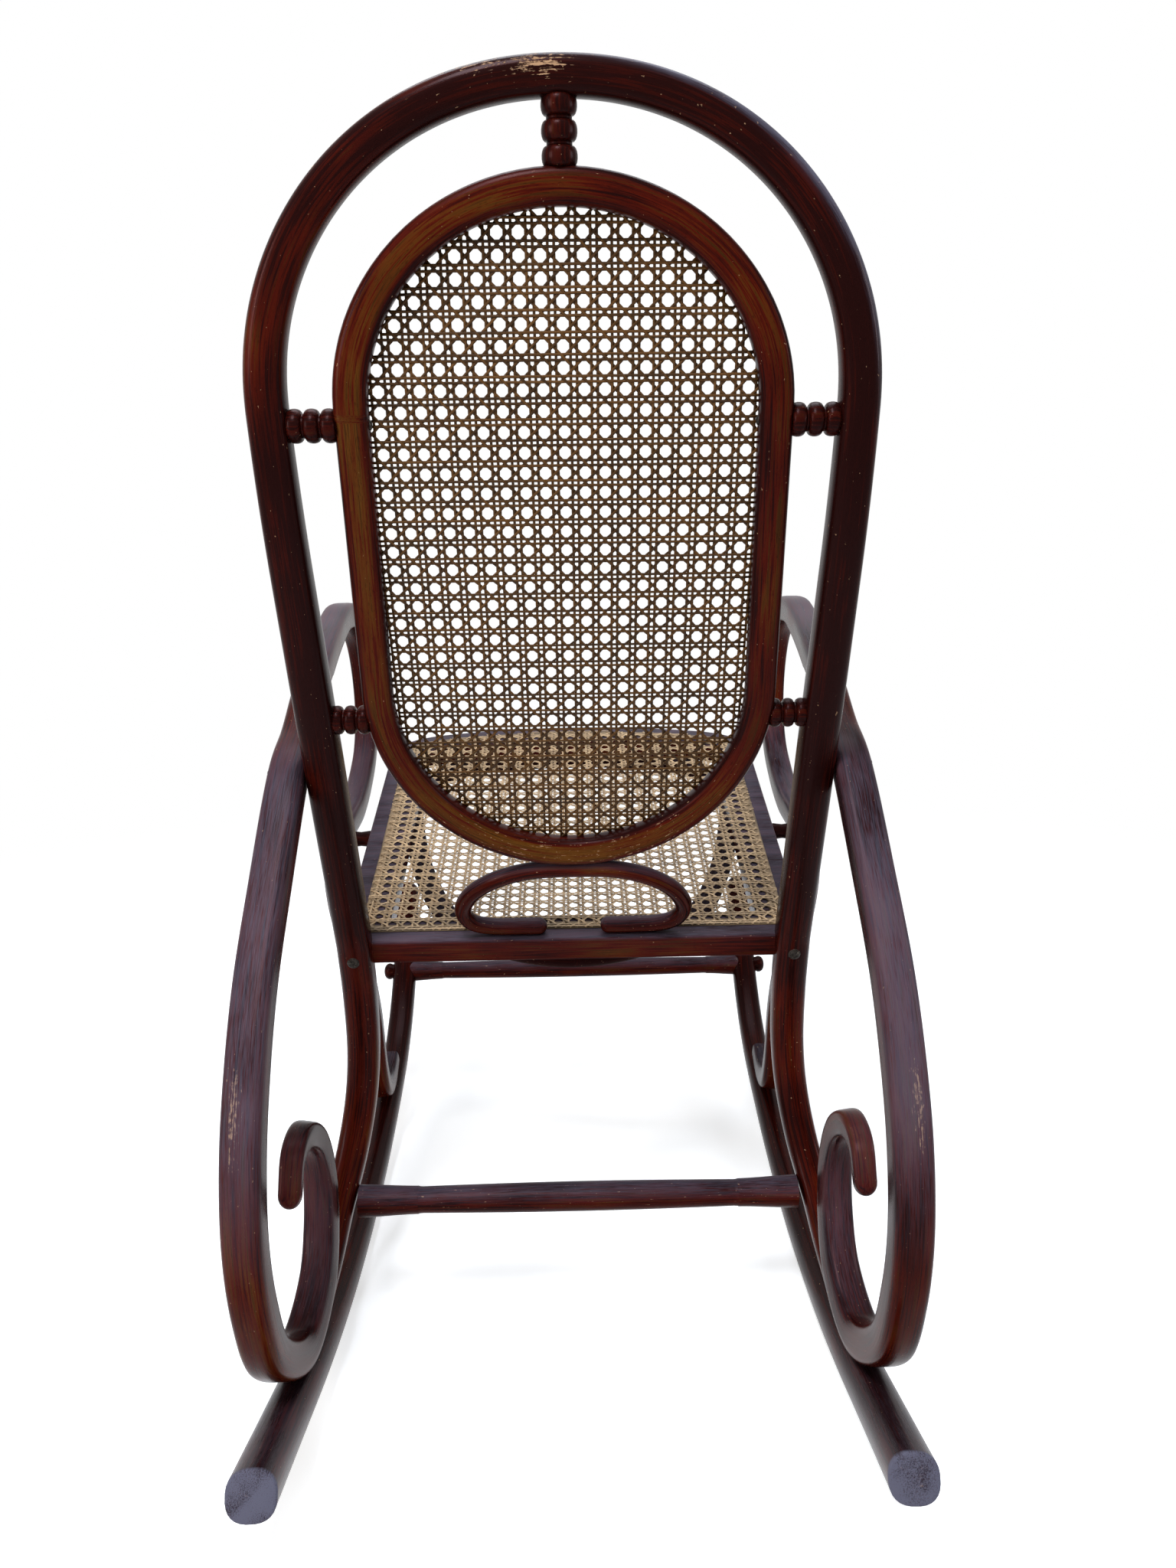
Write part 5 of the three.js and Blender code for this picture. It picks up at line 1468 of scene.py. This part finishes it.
class ROCKER_OT_arms(bpy.types.Operator):
    """Bend the arms that sweep back past the posts into the rear scrolls"""

    bl_idname = "rocker.arms"
    bl_label = "Arms and scrolls"

    def execute(self, context):
        rods = sizes()
        stops = [
            (0, rods.arm), (0.1, rods.arm), (0.25, rods.scroll), (0.72, rods.scroll), (0.85, rods.curl),
            (1, rods.tip),
        ]
        mesh = rod("arm_scroll_shape", arm_line(), stops, **ARM_SECTION, dome_end=1.0, patina=arm_patina)
        cut_scarf(mesh, True)
        add_pair("arm_scroll", mesh, "bent_beech_varnished")
        return {"FINISHED"}


class ROCKER_OT_front_supports(bpy.types.Operator):
    """Bend the front curls of the arms with the front legs"""

    bl_idname = "rocker.front_supports"
    bl_label = "Front supports"

    def execute(self, context):
        rods = sizes()
        stops = [
            (0, rods.arm), (0.25, rods.arm), (0.4, rods.curl), (0.6, rods.curl), (0.85, rods.front_leg),
            (0.95, rods.front_leg), (1, rods.toe),
        ]
        mesh = rod("front_support_shape", front_line(), stops, **ARM_SECTION, patina=low_patina)
        cut_scarf(mesh, False)
        add_pair("front_support", mesh, "bent_beech_varnished")
        return {"FINISHED"}


class ROCKER_OT_runners(bpy.types.Operator):
    """Bend the runners, with a square-cut rear tip and a curl at the front"""

    bl_idname = "rocker.runners"
    bl_label = "Runners"

    def execute(self, context):
        stops = [(0, RUNNER_REAR_RADIUS), (0.65, RUNNER_FRONT_RADIUS), (1, RUNNER_FRONT_RADIUS)]
        mesh = rod(
            "runner_shape", runner_line(), stops, power=RUNNER_POWER, square_start=RUNNER_RIM, dome_end=0.9,
            patina=runner_patina,
        )
        add_pair("runner", mesh, "bent_beech_varnished")
        return {"FINISHED"}


def sleeved_profile(length, core, swell, sleeve, sleeve_length):
    """Stretcher that swells in its middle, with a sleeve at each end that tapers to a faint step."""
    step = core + SLEEVE_STEP
    half = [
        (share * sleeve_length, sleeve + (step - sleeve) * share * share * (3 - 2 * share))
        for share in np.linspace(0, 0.97, 12)
    ]
    half.append((0.985 * sleeve_length, step - 0.0001))
    half += [(sleeve_length, core + 0.0002), (1.06 * sleeve_length, core)]
    between_sleeves = length - 2 * sleeve_length
    middle = [
        (sleeve_length + share * between_sleeves, core + (swell - core) * math.sin(math.pi * share))
        for share in np.linspace(0, 1, 40)[2:-2]
    ]
    return [*half, *middle, *[(length - distance, radius) for distance, radius in reversed(half)]]


class ROCKER_OT_stretchers(bpy.types.Operator):
    """Turn the two stretchers, the knobs outside the runners and the dowels beside the seat"""

    bl_idname = "rocker.stretchers"
    bl_label = "Stretchers"

    def execute(self, context):
        for name, values in STRETCHER_SIZES.items():
            start, end = self.axis_of(name, STRETCHER_TENON)
            profile = sleeved_profile(np.linalg.norm(end - start), **values)
            mesh = turned(name + "_shape", profile, start, end, low_patina)
            mark_sharp(mesh)
            piece = finished_object(name + "_shown", mesh, "turned_beech_varnished")
            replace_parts(piece, name)
        self.knobs()
        self.spacers()
        return {"FINISHED"}

    def axis_of(self, name, drawn_in=0):
        """Right and left end of a node's middle line in the upright drawing, drawn in by a length."""
        low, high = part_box(name)
        middle = (low + high) / 2
        ends = low.x + drawn_in, high.x - drawn_in
        return [np.array(REST.inverted() @ Vector((x, middle.y, middle.z))) for x in ends]

    def knobs(self):
        end = self.axis_of("stretcher_knob_left")[1]
        start = end - point(KNOB_LENGTH, 0, 0)
        neck = KNOB_NECK_PROFILE[-1][0]
        ball = [
            (neck + (KNOB_LENGTH - neck) * (0.5 - 0.5 * math.cos(a)), KNOB_RADIUS * math.sin(a) ** 0.8)
            for a in np.radians([60, 80, 100, 120, 135, 150, 162, 171, 177])
        ]
        mesh = turned("stretcher_knob_shape", [*KNOB_NECK_PROFILE, *ball], start, end)
        add_pair("stretcher_knob", mesh, "turned_beech_varnished")

    def spacers(self):
        inner, outer = spacer_ends()
        mesh = turned("seat_spacer_shape", SPACER_PROFILE, inner, outer)
        add_pair("seat_spacer", mesh, "turned_beech_varnished")


class ROCKER_OT_fasteners(bpy.types.Operator):
    """Fit the bolts and the screws"""

    bl_idname = "rocker.fasteners"
    bl_label = "Bolts and screws"

    def execute(self, context):
        crossing = arm_crossing()
        outside = crossing + point(ARM_ACROSS_SHARE * sizes().scroll - HEAD_SINK, 0, 0)
        mesh = self.slotted_head("arm_bolt_shape", outside, point(1, 0, 0), *ARM_BOLT_HEAD)
        add_pair("arm_bolt", mesh, "steel_dulled")
        rear = seat_point(POST_FOOT_HALF_WIDTH, -sizes().post + HEAD_SINK, -SEAT_THICKNESS / 2)
        way = seat_point(0, -1, 0) - seat_point(0, 0, 0)
        mesh = self.slotted_head("seat_bolt_shape", rear, way, *SEAT_BOLT_HEAD)
        add_pair("seat_bolt", mesh, "steel_dulled")
        half_width = oval_half_width(UPPER_BEAD_HEIGHT, 0)
        inner = back_point(half_width - sizes().oval + OVAL_SCREW_SINK, UPPER_BEAD_HEIGHT)
        mesh = self.slotted_head("oval_screw_shape", inner, point(-1, 0, 0), *OVAL_SCREW_HEAD)
        for side, shape in both_sides("oval_screw", mesh):
            finished_object(f"oval_screw_{side}_shown", shape, "steel_dulled")
        for name in ("rear_foot_screw", "front_foot_screw", "scroll_screw"):
            for side in ("left", "right"):
                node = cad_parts[f"{name}_{side}"]
                node.data.materials.clear()
                node.data.materials.append(finish("steel_dulled"))
        return {"FINISHED"}

    def slotted_head(self, name, foot, way, radius, height):
        """Domed screw head with a slot across it."""
        profile = [(-0.002, radius * 0.9), (0, radius)]
        profile += [
            (height * math.sin(a), radius * (0.25 + 0.75 * math.cos(a)))
            for a in np.linspace(0.15, math.pi / 2, 6)
        ]
        mesh = turned(name, profile, foot, foot + way)
        work = bmesh.new()
        work.from_mesh(mesh)
        top = REST @ Vector(foot + way * height)
        up = (REST.to_3x3() @ Vector(way)).normalized()
        along = up.orthogonal().normalized()
        across = up.cross(along)
        for vertex in work.verts:
            place = vertex.co - top
            if abs(place.dot(across)) < radius * SLOT_HALF_SHARE and place.dot(up) > -height:
                vertex.co -= up * height * SLOT_DEPTH_SHARE
        work.to_mesh(mesh)
        work.free()
        return mesh


class ROCKER_OT_stage(bpy.types.Operator):
    """Set up the floor, the light and the camera"""

    bl_idname = "rocker.stage"
    bl_label = "Stage"

    def execute(self, context):
        self.floor()
        self.world(context.scene)
        self.lamps()
        self.camera(context.scene)
        context.scene.view_settings.view_transform = "Standard"
        return {"FINISHED"}

    def floor(self):
        mesh = bpy.data.meshes.new("floor_shape")
        corners = [(FLOOR_REACH * x, FLOOR_REACH * y, 0) for x, y in ((-1, -1), (1, -1), (1, 1), (-1, 1))]
        mesh.from_pydata(corners, [], [(0, 1, 2, 3)])
        floor = bpy.data.objects.new("floor", mesh)
        bpy.context.scene.collection.objects.link(floor)
        mesh.materials.append(self.pale_floor())
        floor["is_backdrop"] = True

    def pale_floor(self):
        """Pale matt paint: white to the eye and in reflections, with the chair's shadow kept."""
        material = bpy.data.materials.new("floor_pale_matt")
        material.use_nodes = True
        tree = material.node_tree
        tree.nodes.clear()
        seen = self.seen_rays(tree)
        place = add_node(tree, "ShaderNodeTexCoord").outputs["Object"]
        away = add_node(tree, "ShaderNodeVectorMath", {0: place}, operation="LENGTH").outputs["Value"]
        matt = add_node(tree, "ShaderNodeBsdfDiffuse", {"Color": linear("#e8e8e8", 1)})
        glow = add_node(tree, "ShaderNodeEmission", {"Color": WHITE, "Strength": FLOOR_GLOW})
        near = add_node(tree, "ShaderNodeAddShader", {0: matt.outputs[0], 1: glow.outputs[0]})
        white = add_node(tree, "ShaderNodeEmission", {"Color": WHITE, "Strength": 1.0})
        far = between(tree, away, *FLOOR_FADE)
        pale = add_node(tree, "ShaderNodeMixShader", {0: far, 1: near.outputs[0], 2: white.outputs[0]})
        shown = add_node(tree, "ShaderNodeMixShader", {0: seen, 1: matt.outputs[0], 2: pale.outputs[0]})
        add_node(tree, "ShaderNodeOutputMaterial", {"Surface": shown.outputs[0]})
        return material

    def seen_rays(self, tree):
        """1 for what the camera sees directly, for what shows through glass, and for reflections."""
        path = add_node(tree, "ShaderNodeLightPath").outputs
        seen = calculate(tree, "MAXIMUM", path["Is Camera Ray"], path["Is Transmission Ray"])
        return calculate(tree, "MAXIMUM", seen, path["Is Glossy Ray"])

    def world(self, scene):
        world = bpy.data.worlds.new("soft_room")
        world.use_nodes = True
        tree = world.node_tree
        tree.nodes.clear()
        values = {"Color": linear("#dfe4ea", 1), "Strength": ROOM_STRENGTH}
        room = add_node(tree, "ShaderNodeBackground", values)
        white = add_node(tree, "ShaderNodeBackground", {"Color": WHITE, "Strength": 1.0})
        seen = self.seen_rays(tree)
        shown = add_node(tree, "ShaderNodeMixShader", {0: seen, 1: room.outputs[0], 2: white.outputs[0]})
        add_node(tree, "ShaderNodeOutputWorld", {"Surface": shown.outputs[0]})
        scene.world = world

    def lamps(self):
        for name, (place, aim, size, power, colour) in LAMPS.items():
            light = bpy.data.lights.new(name, "AREA")
            light.shape = "RECTANGLE"
            light.size, light.size_y = size
            light.energy = power
            light.color = colour
            lamp = bpy.data.objects.new(name, light)
            bpy.context.scene.collection.objects.link(lamp)
            lamp.location = place
            lamp.rotation_mode = "QUATERNION"
            lamp.rotation_quaternion = (Vector(aim) - Vector(place)).to_track_quat("-Z", "Y")

    def camera(self, scene):
        """Camera where the photographer stood, with the same pitch, roll and framing."""
        pitch, roll = CAMERA_PITCH, CAMERA_ROLL
        aside = math.atan((IMAGE_WIDTH / 2 - AXIS_PIXEL) / FOCAL_PIXELS)
        forward = Vector((0, -math.cos(pitch), -math.sin(pitch)))
        level = Vector((-1, 0, 0))
        below = forward.cross(level)
        right = level * math.cos(roll) + below * math.sin(roll)
        down = below * math.cos(roll) - level * math.sin(roll)
        ahead = forward * math.cos(aside) + right * math.sin(aside)
        right = right * math.cos(aside) - forward * math.sin(aside)
        data = bpy.data.cameras.new("camera")
        data.sensor_fit = "AUTO"
        data.sensor_width = SENSOR_WIDTH
        data.lens = SENSOR_WIDTH * FOCAL_PIXELS / IMAGE_HEIGHT
        camera = bpy.data.objects.new("camera", data)
        scene.collection.objects.link(camera)
        basis = Matrix((right, -down, -ahead)).transposed()
        camera.matrix_world = Matrix.Translation(CAMERA_PLACE) @ basis.to_4x4()
        scene.camera = camera


OPERATORS = (
    ROCKER_OT_stage,
    ROCKER_OT_back_frame,
    ROCKER_OT_oval_frame,
    ROCKER_OT_beads,
    ROCKER_OT_ornament,
    ROCKER_OT_back_cane,
    ROCKER_OT_seat_frame,
    ROCKER_OT_seat_cane,
    ROCKER_OT_hoop,
    ROCKER_OT_arms,
    ROCKER_OT_front_supports,
    ROCKER_OT_runners,
    ROCKER_OT_stretchers,
    ROCKER_OT_fasteners,
)


class ROCKER_PT_panel(bpy.types.Panel):
    """Sizes, colours and making steps of the chair"""

    bl_idname = "ROCKER_PT_panel"
    bl_label = "Bentwood rocking chair"
    bl_space_type = "VIEW_3D"
    bl_region_type = "UI"
    bl_category = "Rocker"

    def draw(self, context):
        layout = self.layout
        for group in (context.scene.rocker_rods, context.scene.rocker_weave, context.scene.rocker_finishes):
            box = layout.box()
            for key in group.__annotations__:
                box.prop(group, key)
        for operator in OPERATORS:
            layout.operator(operator.bl_idname)


CLASSES = (RodSizes, WeaveSizes, Finishes, *OPERATORS, ROCKER_PT_panel)


def register():
    for item in CLASSES:
        bpy.utils.register_class(item)
    bpy.types.Scene.rocker_rods = PointerProperty(type=RodSizes)
    bpy.types.Scene.rocker_weave = PointerProperty(type=WeaveSizes)
    bpy.types.Scene.rocker_finishes = PointerProperty(type=Finishes)


def unregister():
    del bpy.types.Scene.rocker_finishes
    del bpy.types.Scene.rocker_weave
    del bpy.types.Scene.rocker_rods
    for item in reversed(CLASSES):
        bpy.utils.unregister_class(item)


def main():
    register()
    for operator in OPERATORS:
        group, name = operator.bl_idname.split(".")
        getattr(getattr(bpy.ops, group), name)()
    boxes = {"cad": CAD_BOX, "visual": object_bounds()}
    {key: [list(corner) for corner in box] for key, box in boxes.items()}


if __name__ == "__main__":
    main()
